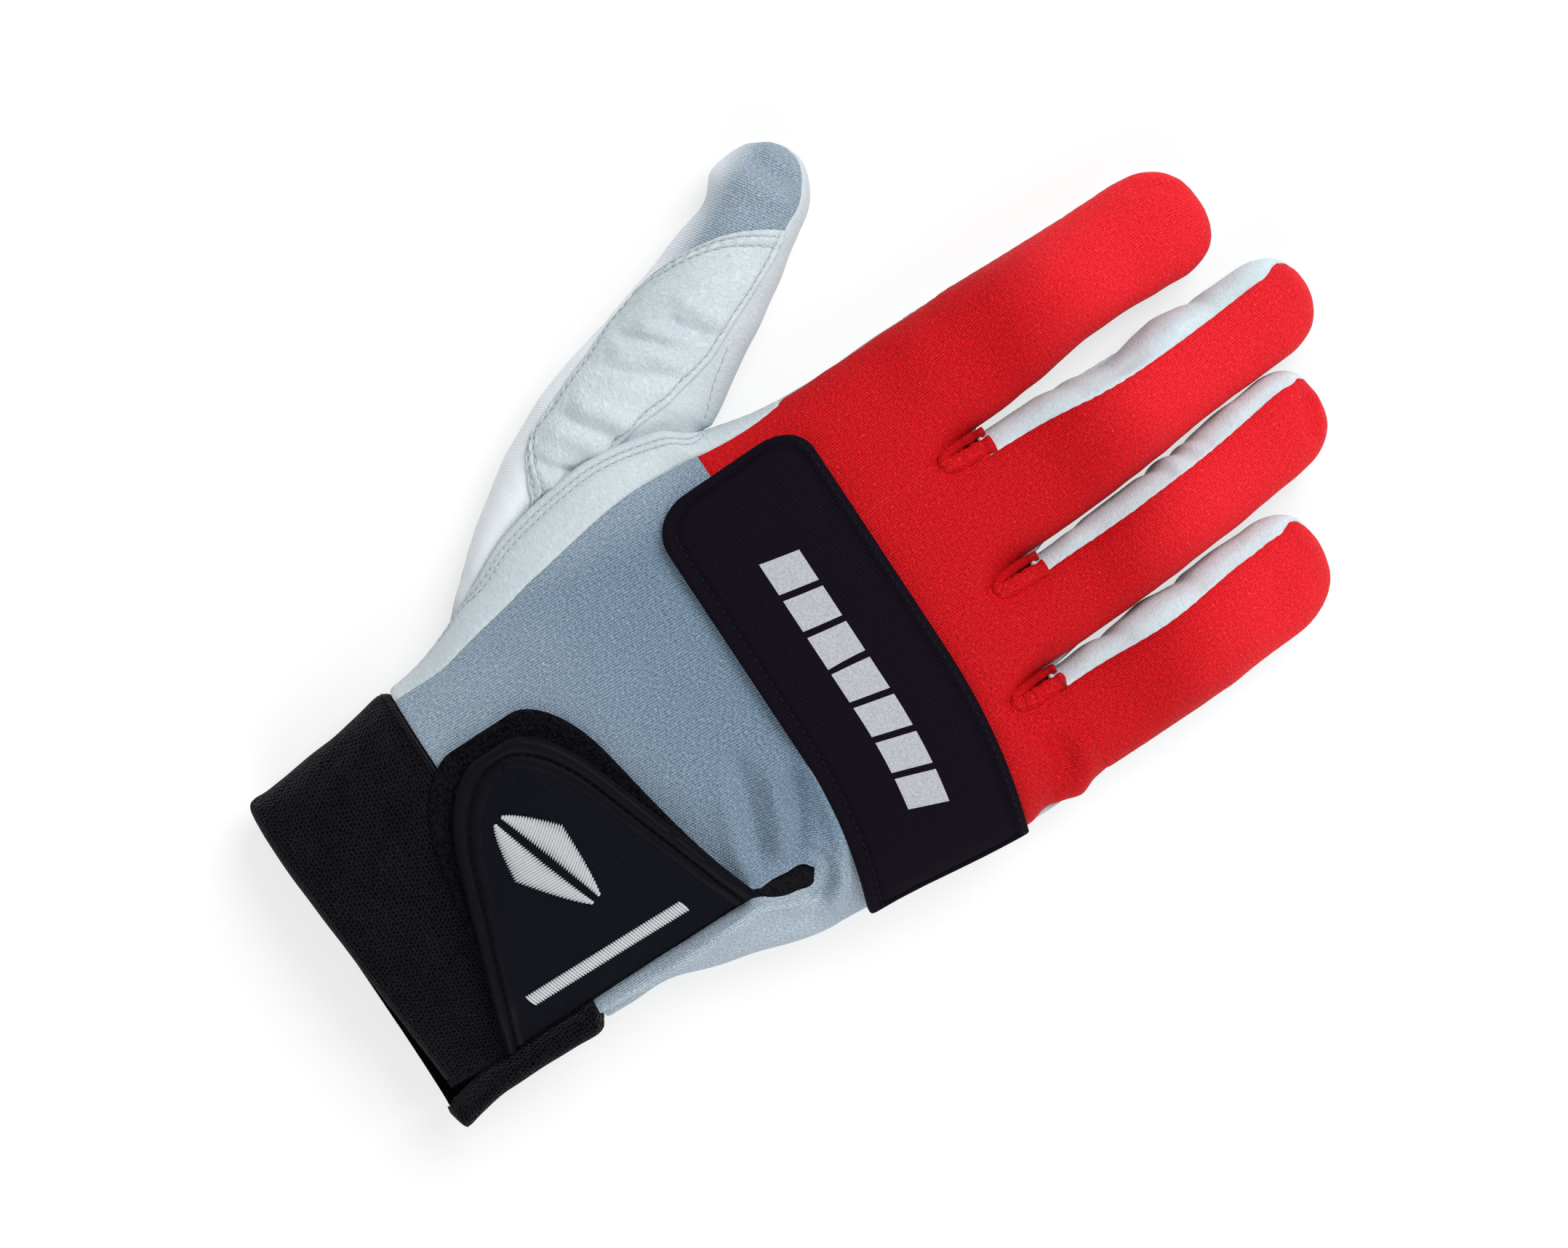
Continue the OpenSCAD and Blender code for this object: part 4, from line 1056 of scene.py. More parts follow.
def knuckle_relief(x, y, z, u, v):
    """Folds at the little finger's root, and a valley along each tuck."""
    h = (0.12 * waves(x, y, 26, 15) + 0.05 * waves(x, y, 8, 16)) * ease((1 - v) * 6)
    h = h + folds(x, y, KNUCKLE_FOLDS)
    for tx, ty in (tuck_place(*pair) for pair in CROTCHES):
        h = h + fold(x, y, [(tx, ty + 3), (tx, ty - 3), (tx - 0.1, ty - 7)], -2.2, 0.9)
    return h


def palm_skin(u, v):
    column = columns_at(1 - u)
    return palm_at(column, rows_to_root(WRIST, column[0], v**0.85))


# Creases of the palm, where a hand folds
PALM_CREASES = [
    ([(-38, 12), (-15, 6), (-6, -20), (-8, -55)], -0.6, 1.3),
    ([(-30, 18), (0, 16), (30, 22), (56, 10)], -0.5, 1.2),
    ([(-20, 34), (10, 30), (40, 30), (57, 24)], -0.45, 1.2),
]
# Distances of the strip's two rows of stitches from its edge, and depth of their groove
STRIP_STITCH_ROWS, STRIP_GROOVE = (2.0, 3.4), 0.3


def palm_relief(x, y, *_):
    return 0.1 * waves(x, y, 18, 25) + folds(x, y, PALM_CREASES)


def strip_relief(x, y, *_):
    return 0.1 * waves(x, y, 12, 35) + 0.25


all_columns = np.linspace(0, 1, len(COLUMNS[0]))
stall_middles = np.arange(len(all_columns)) // (COLUMN_COUNT + 1) * (COLUMN_COUNT + 1) + COLUMN_COUNT // 2
panel("palm", palm_skin, all_columns, np.linspace(0, 1, 120), LEATHER_THICK, LEATHER, palm_relief,
      rounded=(0.3, 0.3, 0.3, 0))
panel("hand_back", hand_back_skin, np.linspace(0, 1, 96), np.linspace(0, 1, 140), KNIT_THICK, BLUE,
      back_relief, rounded=(0.35, 0, 0.3, 0), measured_from=np.full(96, 48))
panel("ulnar_panel", ulnar_skin, spaced(80, 24), np.linspace(0, 1, 140), KNIT_THICK, BLUE, lip_relief,
      rounded=(0, 0.4, 0.3, 0))
panel("radial_strip", strip_skin, spaced(26, 15), np.linspace(0, 1, 130), LEATHER_THICK, LEATHER,
      strip_relief, rounded=(0.4, 0.4, 0.3, 0.4), pucker=(0.12, 0.1, 0, 0),
      grooves=[(0, inset, STRIP_GROOVE) for inset in STRIP_STITCH_ROWS])
panel("knuckle_panel", knuckle_skin, all_columns, np.linspace(0, 1, 64), KNIT_THICK, RED, knuckle_relief,
      rounded=(0.3, 0.3, 0.2, 0), measured_from=stall_middles)


# Fingers
FINGER_FOLDS = {
    "index": [
        ([(-41, 92), (-36, 96), (-30, 97)], -0.35, 1.8),
        ([(-40, 111.5), (-37.6, 118.3), (-32.9, 122)], -0.9, 1.3),
    ],
    "middle": [
        ([(-8, 92), (0, 96), (9, 95)], -0.35, 2.0),
        ([(4, 118), (8, 112), (10, 104)], -0.3, 1.8),
    ],
    "ring": [
        ([(16.5, 120.5), (22, 119), (27.5, 116.2)], -0.9, 0.9),
        ([(17.5, 122.4), (23, 121), (28.5, 118.2)], 0.6, 1.0),
        ([(16, 86), (24, 89), (32, 87)], -0.3, 1.8),
    ],
    "little": [
        ([(43, 96), (50, 92), (56, 88)], -0.45, 2.0),
        ([(44, 70), (52, 73), (60, 71)], -0.35, 2.0),
    ],
}
# Distance over which a finger's bend is spread, and its height, in millimetres
FINGER_BEND_LONG, BEND_HEIGHT = 23, 9


def bend_line(body, start, way):
    """Bodies and ends of the stretch over which cloth turns from the hand to a moving body."""
    ends = (np.array([*q, BEND_HEIGHT]) * MM for q in (start, start + way))
    return "hand", body, *(tuple(float(c) for c in q) for q in ends)


def finger_bend(name):
    root, _, left, right = STALLS[name][:4]
    return bend_line(name, np.array([(left + right) / 2, root]), np.array([0, FINGER_BEND_LONG]))


# How far the seam beside the inner wall dips, in degrees, its place along the finger and its spread
INNER_SEAM = {"middle": (11, 0.5, 0.3), "ring": (4, 0.62, 0.22), "little": (6, 0.4, 0.2)}


def back_edges(name, v):
    """Angles of the red back's edges, on the thumb side and on the little-finger side."""
    c = tip_close(name, v)
    high = 180 + 16 * ease(v * 3) if name == "index" else RED_INNER - bumps(v, [INNER_SEAM[name]])
    low = 0.0 if name == "little" else mix(RED_LOW, 0.0, c)
    return mix(high, 180.0, c), low


def front_edges(name, v):
    """Angles of the leather front's edges, on the little-finger side and on the thumb side."""
    c = tip_close(name, v)
    high = 360.0 if name == "little" else mix(FRONT_LOW, 360.0, c)
    low = 180 + 14 * ease(v * 3) if name == "index" else WALL_LOW
    return high, mix(low, 180.0, c)


# Share of the finger's rows at which its red and its front have met over the end
WALL_END = {"index": 0.95, "middle": 0.952, "ring": 0.985, "little": 0.957}
# Creases across the walls: height, place, spread
WALL_FOLDS = {
    "middle_wall_inner": [(-0.6, 78, 2.2), (-1.7, 90, 7.5), (1.0, 105, 5.5), (-0.5, 113, 1.8)],
    "ring_wall_inner": [
        (-0.4, 66, 2.0), (-0.7, 85, 1.5), (0.4, 88.5, 1.6), (-0.8, 92, 1.6),
        (-0.5, 96.5, 1.5), (0.5, 106, 4.0),
    ],
    "little_wall": [(-0.7, 58, 2.0), (0.8, 70, 4.0), (-0.6, 78, 1.8), (0.5, 88, 5.0)],
}
WALL_SUNK = 0.4


def red_relief(name, seed):
    def relief(x, y, z, u, v):
        slack = 0.16 * waves(x, y, 20, seed) + 0.06 * waves(x, y, 7, seed + 9)
        return slack * ease(v * 8) + folds(x, y, FINGER_FOLDS[name])
    return relief


def front_relief(seed):
    return lambda x, y, z, u, v: 0.12 * waves(x, y, 13, seed) * ease(v * 8)


def wall_relief(node, seed):
    def relief(x, y, z, u, v):
        h = 0.18 * waves(y, z, 17, seed) + 0.05 * waves(y, z, 6, seed + 1)
        h = h + 0.7 * np.sin(np.pi * u) * ease(v * 5) + bumps(y - 0.5 * (z - 12), WALL_FOLDS.get(node, ()))
        return h * ease((1 - u) * 4) * ease(v * 6) - WALL_SUNK
    return relief


# Edges of the walls, which reach a little way under the front and the back
def inner_wall_edges(name, v):
    return front_edges(name, v)[1] + 2, back_edges(name, v)[0] - 3


def outer_wall_edges(name, v):
    return 360 + back_edges(name, v)[1] + 3, front_edges(name, v)[0] - 2


def stall_skin(name, edges):
    """Part of a finger between two edges, whose angles may change along it."""
    return lambda u, v: finger_at(name, mix(*edges(name, v), u), v)


for number, name in enumerate(STALLS):
    length = STALLS[name][1]
    rows = np.linspace(0, 1, int(length * 1.25))
    wall_rows = np.linspace(0, WALL_END[name], int(length * 1.15))
    bend = finger_bend(name)
    panel(name + "_back", stall_skin(name, back_edges), spaced(38, 40), rows, KNIT_THICK, RED,
          red_relief(name, 40 + number), bend=bend,
          rounded=(0.3, 0.3, 0, 0), pucker=(0.2, 0.2, 0, 0), pole=True)
    panel(name + "_front", stall_skin(name, front_edges), spaced(34, 36), rows, LEATHER_THICK, LEATHER,
          front_relief(60 + number), bend=bend,
          rounded=(0.3, 0.3, 0, 0), pucker=(0.15, 0.15, 0, 0), pole=True)
    if name != "index":
        node = "little_wall" if name == "little" else name + "_wall_inner"
        panel(node, stall_skin(name, inner_wall_edges), np.linspace(0, 1, 20), wall_rows,
              LEATHER_THICK, LIT_WALL_LEATHER, wall_relief(node, 70 + number), bend=bend)
    if name != "little":
        node = "index_wall" if name == "index" else name + "_wall_outer"
        panel(node, stall_skin(name, outer_wall_edges), np.linspace(0, 1, 12), wall_rows,
              LEATHER_THICK, LIT_WALL_LEATHER, wall_relief(node, 80 + number), bend=bend)


# Thumb
THUMB_BEND = bend_line("thumb", RING_CENTRE, 22 * ALONG)
THUMB_END = THUMB_BODY + THUMB_TIP_ARC
# Wrist end of the overlay on its outer side and on the hand side
OVERLAY_START, OVERLAY_HAND_START = -19.0, -53.0
OVERLAY_PROUD, OVERLAY_LIFT = 0.7, 0.2


def overlay_right(t):
    """Angle of the overlay's seam on the hand side, from the strip to the overlay's point."""
    places = [-27, -20, -16, -10, -5, 0, 5, 9, 13, 23, 33, 44]
    return np.interp(t, places, [15, 48, 57, 65, 71, 74, 70, 65, 61, 58, 52, 45])


def overlay_top(phi):
    """Reach of the overlay along the thumb at each angle round it."""
    angles = [45, 60, 73, 83, 92, 107, 121, 136, 150, 165]
    return np.interp(phi, angles, [44, 43.2, 42, 40.8, 39, 35.8, 32, 27.8, 23, 14])


def overlay_left(t):
    """Angle of the overlay's outer edge, behind which the knit shows as a narrow strip."""
    return np.interp(t, [-30, -19, -8, 0, 8, 24], [138, 140, 145, 153, 160, 158])


def knit_right(t):
    """Angle of the knit back's edge on the hand side, under the overlay."""
    return mix(BASE_TOP_EDGE, overlay_right(t) + 6 - 8 * ease((t - 40) / 10), ease((t + 28) / 7))


def thumb_back_skin(u, v):
    t = mix(-BASE_LENGTH, THUMB_END, v)
    return thumb_at(mix(BASE_LOW_EDGE, knit_right(t), u), t)


TIP_FOLDS = [
    ([(-92, 50), (-87, 51), (-79, 55)], -1.8, 2.4),
    ([(-90, 44), (-83, 46), (-75, 51)], 1.2, 2.6),
]


def thumb_back_relief(x, y, z, u, v):
    """The stretch knit is slack at the tip and pressed in under the overlay."""
    t = mix(-BASE_LENGTH, THUMB_END, v)
    phi = mix(BASE_LOW_EDGE, knit_right(t), u)
    low_edge = mix(OVERLAY_HAND_START, OVERLAY_START, np.clip((phi - 15) / 125, 0, 1))
    covered = ease((overlay_left(t) - 2 - phi) / 8)
    covered = covered * ease((overlay_top(phi) - 1.5 - t) / 3) * ease((t - low_edge - 2) / 4)
    slack = 0.2 * waves(x, y, 13, 95) + 0.07 * waves(x, y, 5, 96)
    return slack - 2.0 * covered + folds(x, y, TIP_FOLDS)


def thumb_front_skin(u, v):
    t = mix(-BASE_LENGTH, THUMB_END, v)
    tip = ease((t - 40) / 10)
    top = mix(-20.0, overlay_right(t) + mix(5.0, -2.0, tip), ease((t + 26) / 6))
    return thumb_at(mix(top, BASE_LOW_EDGE - 360, u), t)


def overlay_skin(u, v):
    start = mix(OVERLAY_START, OVERLAY_HAND_START, u)
    stop = overlay_top(mix(158.0, 45.0, u))
    t = mix(start, stop, v)
    return thumb_at(mix(overlay_left(t), overlay_right(t), u), t, -OVERLAY_PROUD, OVERLAY_LIFT)


OVERLAY_CREASES = [
    ([(-75, 19), (-68, 22.5), (-61, 26)], 1.0, 2.0),
    ([(-72.5, 15.3), (-67, 17.9), (-62.3, 22.1)], -1.1, 1.4),
    ([(-75, 9), (-70, 12.5), (-64, 17)], 0.9, 1.7),
    ([(-75, 4), (-70, 9), (-65, 13.5)], -0.8, 1.2),
    ([(-72.8, 0.7), (-67.6, 7.8), (-62.2, 12.7)], 1.2, 2.2),
    ([(-70.8, -2.6), (-63.9, 5.4), (-57.1, 13.4)], -1.1, 1.6),
    ([(-68.4, -11.6), (-60.9, -6), (-54, -1.8)], 1.4, 2.3),
    ([(-68, -15), (-61.6, -10.9), (-53.4, -5.8)], -1.0, 1.5),
    ([(-66.5, -19), (-60.5, -14.6), (-54, -10)], 1.0, 2.1),
    ([(-64, -25), (-58, -22), (-54, -18)], -0.9, 1.3),
    ([(-62, -28), (-57, -25), (-53, -22)], 0.8, 1.8),
]
DEEPEST_CREASE = -1.2


def overlay_relief(x, y, z, u, v):
    """Wrinkles that fade out before the overlay's sewn edges."""
    h = 0.2 * waves(x, y, 14, 91) + 0.06 * waves(x, y, 5.5, 92) + folds(x, y, OVERLAY_CREASES)
    free = ease(u * 9) * ease((1 - u) * 12) * ease(v * 13) * ease((1 - v) * 13)
    return np.maximum(h, DEEPEST_CREASE) * free


def thumb_front_relief(x, y, *_):
    return 0.14 * waves(x, y, 12, 97)


thumb_rows = np.linspace(0, 1, 150)
# Rows of stitches on the overlay: name, edge, distance inside it, first and last share of the edge
OVERLAY_STITCHES = [
    ("top_stitch_outer", 3, 1.5, 0.06, 0.93),
    ("low_stitch_outer", 2, 1.5, 0.05, 0.8),
    ("top_stitch_inner", 3, 3.9, 0.06, 0.93),
    ("low_stitch_inner", 2, 3.9, 0.05, 0.8),
    ("side_stitch", 0, 1.7, 0.03, 0.97),
    ("hand_stitch", 1, 1.6, 0.36, 0.97),
]
panel("thumb_back", thumb_back_skin, spaced(40, 44), thumb_rows, KNIT_THICK, BLUE, thumb_back_relief,
      ["thumb_base_back", "thumb_back"], bend=THUMB_BEND, pole=True, cloth_turn=80.0)
panel("thumb_front", thumb_front_skin, spaced(40, 44), thumb_rows, LEATHER_THICK, LEATHER, thumb_front_relief,
      ["thumb_base_front", "thumb_front"], bend=THUMB_BEND, pole=True)
panel("thumb_overlay", overlay_skin, spaced(70, 36), spaced(160, 80), LEATHER_THICK, CREASED, overlay_relief,
      ["thumb_base_overlay", "thumb_overlay"], bend=THUMB_BEND,
      rounded=(0.45, 0.4, 0.45, 0.45), pucker=(0.12, 0.1, 0.12, 0.12),
      grooves=[(edge, inset, 0.35 if edge > 1 else 0.3) for _, edge, inset, *_ in OVERLAY_STITCHES],
      puffs=((3, 2.7, 0.5), (2, 2.7, 0.5)))

# Knuckle band: jersey over foam with a pressed groove inside a rolled edge
BAND_REACH, BAND_WIDTH, BAND_CORNER, BAND_T = 38.5, 38.0, 10.0, 2.4
BAND_ROUND, BAND_END_ANGLE, BAND_RIM = 96.0, 15.0, 6.2


def band_top(x):
    return 26.5 - 6.5 * ease((x - 10) / 55)


def band_place(u, v):
    x = mix(-BAND_REACH, hand_right(0.0), u)
    near = np.clip(BAND_CORNER - (x + BAND_REACH), 0, BAND_CORNER)
    cut = BAND_CORNER - np.sqrt(BAND_CORNER**2 - near**2)
    top = band_top(x)
    return x, mix(top - BAND_WIDTH + cut, top - cut, v)


def band_skin(u, v):
    x, y = band_place(u, v)
    inset = -0.6 - BAND_T * 0.55
    return hand_at(mix(hand_angle(-BAND_REACH, y, TOP_POWER, inset), BAND_END_ANGLE, u), y, inset)


def band_relief(x, y, z, u, v):
    px, py = band_place(u, v)
    inside_y = np.minimum(band_top(px) - py, py - band_top(px) + BAND_WIDTH)
    corner = np.hypot(np.minimum(px + BAND_REACH - BAND_CORNER, 0), np.minimum(inside_y - BAND_CORNER, 0))
    edge = np.minimum(np.minimum(inside_y, px + BAND_REACH), np.where(corner > 0, BAND_CORNER - corner, 1e9))
    edge = np.minimum(edge, BAND_ROUND * (1 - u))
    rim = BAND_T * 0.45 * half_round(1 - np.clip(edge / 1.5, 0, 1))
    groove = -0.75 * bell((edge - 3.1) / 0.75)
    crown = 0.45 * ease((edge - 3) / 9)
    return rim + groove + crown + 0.05 * waves(px, py, 6, 99) * ease(edge / 3)


def rim_spaced(close, length, count):
    """Shares from 0 to 1, closer at both ends, over the rolled rim and its groove."""
    close = np.array(close) / length
    inner = np.linspace(BAND_RIM, length - BAND_RIM, count) / length
    return np.concatenate([close, inner, 1 - close[::-1]])


band_rows = rim_spaced([0, 0.15, 0.45, 0.9, 1.4, 2.0, 2.5, 2.9, 3.3, 3.8, 4.5, 5.3], BAND_WIDTH, 30)
band_columns = rim_spaced([0, 0.1, 0.3, 0.6, 1.0, 1.5, 2.0, 2.5, 2.9, 3.3, 3.8, 4.5, 5.3], BAND_ROUND, 100)
band = panel("knuckle_band", band_skin, band_columns, band_rows, BAND_T * 0.5, JERSEY, band_relief,
             rounded=(0, 0, 0, 0))


# Cuff, with a roll along its end at the slit
CUFF_GIRTH, ROLL_WIDE, ROLL_HIGH = 245.0, 9.4, 5.6
CUFF_TOP, CUFF_PROUD, CUFF_THICK = WRIST - 0.2, 0.5, 1.8


def cuff_foot(u):
    """Wrist edge of the cuff, a little shorter on the back towards the slit."""
    return CUFF_EDGE + 3.2 * ease((u - 0.72) / 0.28)


def cuff_skin(u, v):
    d = u * CUFF_GIRTH
    beside = np.clip(d * 2 / ROLL_WIDE - 1, -1, 1)
    short = 2.6 * (1 - half_round(beside)) * (d < ROLL_WIDE * 1.2)
    proud = 1.4 * bell(np.clip(d - ROLL_WIDE / 2, 0, 99) / 4)
    foot = cuff_foot(u) + short * bell(np.clip(d - ROLL_WIDE, 0, 99) / 2)
    y = mix(foot, CUFF_TOP + proud - short, v)
    gape = 0.6 + 1.9 * ease((-102 - y) / 13)
    upper = hand_angle(SLIT_X - gape * 0.6, y, TOP_POWER, -CUFF_PROUD)
    lower = hand_angle(SLIT_X + gape, y, TOP_POWER, -CUFF_PROUD)
    return hand_at(mix(lower, upper - 360, u), y, -CUFF_PROUD)


def cuff_relief(x, y, z, u, v):
    """Rounded hems, and the roll, which is lower at its ends."""
    d, top, foot = u * CUFF_GIRTH, CUFF_TOP - y, y - cuff_foot(u)
    hems = 0.4 * bell((top - 3.6) / 3.2) - 1.5 * np.clip(1 - top / 2.8, 0, 1) ** 2
    hems = hems + 0.5 * bell((foot - 2.2) / 2.0) - 0.9 * np.clip(1 - foot / 1.7, 0, 1) ** 2
    roll = ROLL_HIGH * half_round((d - ROLL_WIDE / 2) / (ROLL_WIDE / 2 + 0.8)) - 1.2 * bell(d)
    whole = ease((y + 116.5) / 2.5) * ease((-75.6 - y) / 2.5)
    return 0.12 * waves(u * 240, y, 9, 101) + hems + roll * mix(0.25, 1.0, whole)


cuff_columns = np.concatenate([np.linspace(0, 0.045, 26)[:-1], np.linspace(0.045, 1, 200)])
panel("cuff_elastic", cuff_skin, cuff_columns, spaced(44, 39), CUFF_THICK, ELASTIC, cuff_relief,
      rounded=(0.3, 0.3, 0.45, 0.45))


# Closure: tongue outline at a share s of the way from nose to base
TAB_REACH, NOSE_POWER = 56.0, 1.7
TAB_SEAT, TAPE_SEAT, SEWN_SEAT, TAPE_WIDE = 5.2, 5.25, 3.3, 4.9
TAB_BEND = ("hand", "closure_tab", (0.0402, -0.06825, 0.0265), (0.035, -0.06825, 0.0265))


def tongue_half(s):
    return half_round(1 - np.clip(s * TAB_REACH / 17, 0, 1))


def tongue_top(s):
    return mix(-62.0, -36.2, s) + 8 * tongue_half(s) * (1 - s)


def tongue_low(s):
    return mix(-68.0, -98.0, s) - 10 * tongue_half(s) * (1 - s)


def tongue_span(s, more, least):
    """Middle and half width of the tongue, widened by more."""
    half = np.maximum(least, (tongue_top(s) - tongue_low(s)) / 2 + more)
    return (tongue_low(s) + tongue_top(s)) / 2, half


def tab_fall(x, seat):
    """Height of a tab layer above the hand: it comes down to the sewn base."""
    return mix(seat, min(seat, SEWN_SEAT), ease((x - 31) / 9))


def tongue_skin(margin, seat, right, least=0.4, shrink=0.0):
    def skin(u, v):
        x = mix(SLIT_X - TAB_REACH - margin, right, u)
        s = np.clip((x - SLIT_X + TAB_REACH + margin) / (TAB_REACH + margin), 0, 1)
        mid, half = tongue_span(s, margin * (1 - shrink * ease(s * 1.15)), least)
        return back_at(x, mid + half * (2 * v - 1), -tab_fall(x, seat))
    return skin


def nose_spaced(count):
    return np.linspace(0, 1, count) ** NOSE_POWER


def nap_relief(x, y, *_):
    return 0.18 * waves(x, y, 3.0, 111) + 0.12 * waves(x, y, 1.4, 112)


def twill_relief(x, y, *_):
    return 0.06 * waves(x, y, 10, 113)


panel("loop_patch", tongue_skin(4.5, 2.1, SLIT_X - 0.7, shrink=0.95), nose_spaced(70), spaced(64, 60), 1.3,
      LOOP_PILE, nap_relief, rounded=(0.5, 0.3, 0.5, 0.5))
panel("hook_pad", tongue_skin(-5, 3.6, SLIT_X - 5.7, 1.4), nose_spaced(40), spaced(36, 40), 1.1, HOOKS,
      body="closure_tab")
panel("tab_face", tongue_skin(-1.0, TAB_SEAT, SLIT_X), nose_spaced(90), spaced(80, 58), 1.3, TWILL,
      twill_relief, bend=TAB_BEND)


def tape_skin(u, v):
    """Tape round the tongue from one corner of its base to the other, and from its outer edge inwards."""
    margin = mix(0.6, -4.3, v)
    i = 1 - 2 * u
    s = np.abs(i) ** NOSE_POWER
    x = SLIT_X - TAB_REACH - margin + s * (TAB_REACH + margin)
    mid, half = tongue_span(s, margin, 0.01)
    return back_at(x, mid + np.sign(i) * half, -tab_fall(x, TAPE_SEAT))


def tape_relief(x, y, z, u, v):
    d = TAPE_WIDE * v
    roll = half_round((d - 1.25) / 1.45) - 1.1 * ease((0.7 - d) / 0.7)
    return roll + 0.22 - 0.3 * bell((d - 2.9) / 0.35) + 0.05 * waves(x, y, 5, 131)


tape_across = [0, 0.15, 0.4, 0.75, 1.2, 1.7, 2.2, 2.5, 2.7, 2.9, 3.1, 3.4, 3.9, 4.4, 4.7, TAPE_WIDE]
panel("tab_piping", tape_skin, np.linspace(0, 1, 180), np.array(tape_across) / TAPE_WIDE, 0.7, PIPING,
      tape_relief, bend=TAB_BEND, rounded=(0, 0, 0, 0.2))

# Slit binding, which swells to fill the pocket at the slit's closed end
bm = bmesh.new()
ys = np.concatenate([np.linspace(-112.6, -40, 70), np.linspace(-39, -22.2, 34)])
swell = ease((ys + 40) / 7)
blunt = np.sqrt(np.clip(1 - np.clip((ys - SLIT_BLUNT) / 3.6, 0, 1) ** 2, 0.01, 1))
near = slit_middle(ys) - slit_gape(ys) - 0.9 * ease((-98 - ys) / 18) + 0.3
line = np.stack(back_at(mix(near, slit_middle(ys), swell), ys, -0.35), axis=1)
line[:, 2] -= 1.9 * swell
tube(bm, line, mix(1.0, 3.5, swell) * blunt, 14, flat=0.5)
keep_piece(mesh_object("slit_binding", bm, BINDING, 60), ["slit_binding"])

# Tucks: a roll bent round each crotch
bm = bmesh.new()
column = column_list(60)
for pair in CROTCHES:
    tx, ty = tuck_place(*pair)
    a = np.radians(np.linspace(-14, 194, 64))
    thick = (1 + np.cos(a)) / 2
    beside = np.sign(np.cos(a)) * np.abs(np.cos(a)) ** 0.6
    over = np.sign(np.sin(a)) * np.abs(np.sin(a)) ** 0.75
    xs, ys = tx + 1.45 * beside - 0.6 * over + 0.5, ty + 0.6 - 8.2 * over
    zs = []
    for x, y in zip(xs, ys):
        qx, _, qz = knuckle_at(column, np.full(len(column[0]), y))
        zs.append(qz[np.abs(qx - x) < 0.9].max() - 0.1)
    wrapped = mix(1.05, 1.95, thick) + (0.06 + 0.1 * thick) * np.sin(a * 21)
    wrapped = wrapped + 0.06 * np.sin(a * 33 + tx) + 0.25 * over
    tube(bm, np.stack([xs, ys, np.array(zs)], axis=1), wrapped, 14, flat=0.85)
keep_piece(mesh_object("crotch_tucks", bm, RED, 60), ["crotch_tucks"])

# Turned ends of the leather walls at the crotches
for name, node in (("middle", "middle_wall_inner"), ("ring", "ring_wall_inner"), ("little", "little_wall")):
    points, normals = line_on(node, np.linspace(0.1, 0.9, 30), np.full(30, 0.004))
    ragged = 0.62 + 0.14 * waves(points[:, 0] * 3, points[:, 2] * 3, 4, 121)
    bm = bmesh.new()
    tube(bm, points + normals * 0.25, ragged, 8, up=(0, 1, 0))
    keep_piece(mesh_object(name + "_wall_end", bm, LIT_WALL_LEATHER, 60), bend=finger_bend(name))

# Printed blocks along the band
BLOCKS, BLOCKS_FROM, BLOCK_STEP, BLOCK_GAP, BLOCK_LEAN = 7, -17.0, 9.0, 1.5, 3.0
BLOCK_LOW, BLOCK_HIGH, INK_PROUD, INK_THICK = 0.385, 0.615, 0.1, 0.2
bm = bmesh.new()
middle_row = len(band_rows) // 2
band_run = panels["knuckle_band"]["away"][0][middle_row]
block_start = np.interp(BLOCKS_FROM, panels["knuckle_band"]["p"][middle_row, :, 0], band_run)
for k in range(BLOCKS):
    made = bmesh.ops.create_grid(bm, x_segments=10, y_segments=10, size=0.5)["verts"]
    a = np.array([v.co.x + 0.5 for v in made])
    b = np.array([v.co.y + 0.5 for v in made])
    along = block_start + k * BLOCK_STEP + (BLOCK_STEP - BLOCK_GAP) * a + BLOCK_LEAN * (b - 0.5)
    round_hand = np.interp(along, band_run, band_columns)
    points, normals = line_on("knuckle_band", round_hand, mix(BLOCK_LOW, BLOCK_HIGH, b))
    for v, q, up in zip(made, points, normals):
        v.co = (q + up * INK_PROUD) * MM
made = bmesh.ops.extrude_face_region(bm, geom=bm.faces[:], use_keep_orig=True)["geom"]
lower = [v for v in made if isinstance(v, bmesh.types.BMVert)]
bmesh.ops.translate(bm, verts=lower, vec=(0, 0, -INK_THICK * MM))
keep_piece(mesh_object("band_print", bm, PRINT, 40))

# Embroidered patches of the tab
SATIN_STEP, SATIN_RADIUS = 0.62, 0.4


def satin_patch(name, threads):
    """Close parallel threads on the tab, each from one (x, y) to another."""
    bm = bmesh.new()
    for k, (start, stop) in enumerate(threads):
        ends = np.array([back_at(q[0], q[1], -tab_fall(q[0], TAB_SEAT)) for q in (start, stop)])
        way = Vector(ends[1] - ends[0]) / 2
        side = Vector((0, 0, 1)).cross(way).normalized()
        centre = Vector(ends.mean(axis=0)) + Vector((0, 0, 0.25 + 0.05 * (k % 2)))
        lay_thread(bm, centre, way, side * SATIN_RADIUS, way.cross(side).normalized() * SATIN_RADIUS * 1.3)
    keep_piece(mesh_object(name, bm, GREY_THREAD, 180), body="closure_tab")


def lozenge_threads(centre, along, length, width, half):
    """Slanting threads over one half of a lozenge that is split along its long axis."""
    along = np.array(along) / np.linalg.norm(along)
    across = np.array([along[1], -along[0]]) * half
    threads = []
    for s in np.linspace(-0.96, 0.96, int(length / SATIN_STEP)):
        reach = width / 2 * (1 - abs(s)) ** 0.75 + 0.35
        inner = np.array(centre) + along * s * length / 2 + across * 0.7
        threads.append((inner, inner + across * reach - along * reach * 0.35))
    return threads


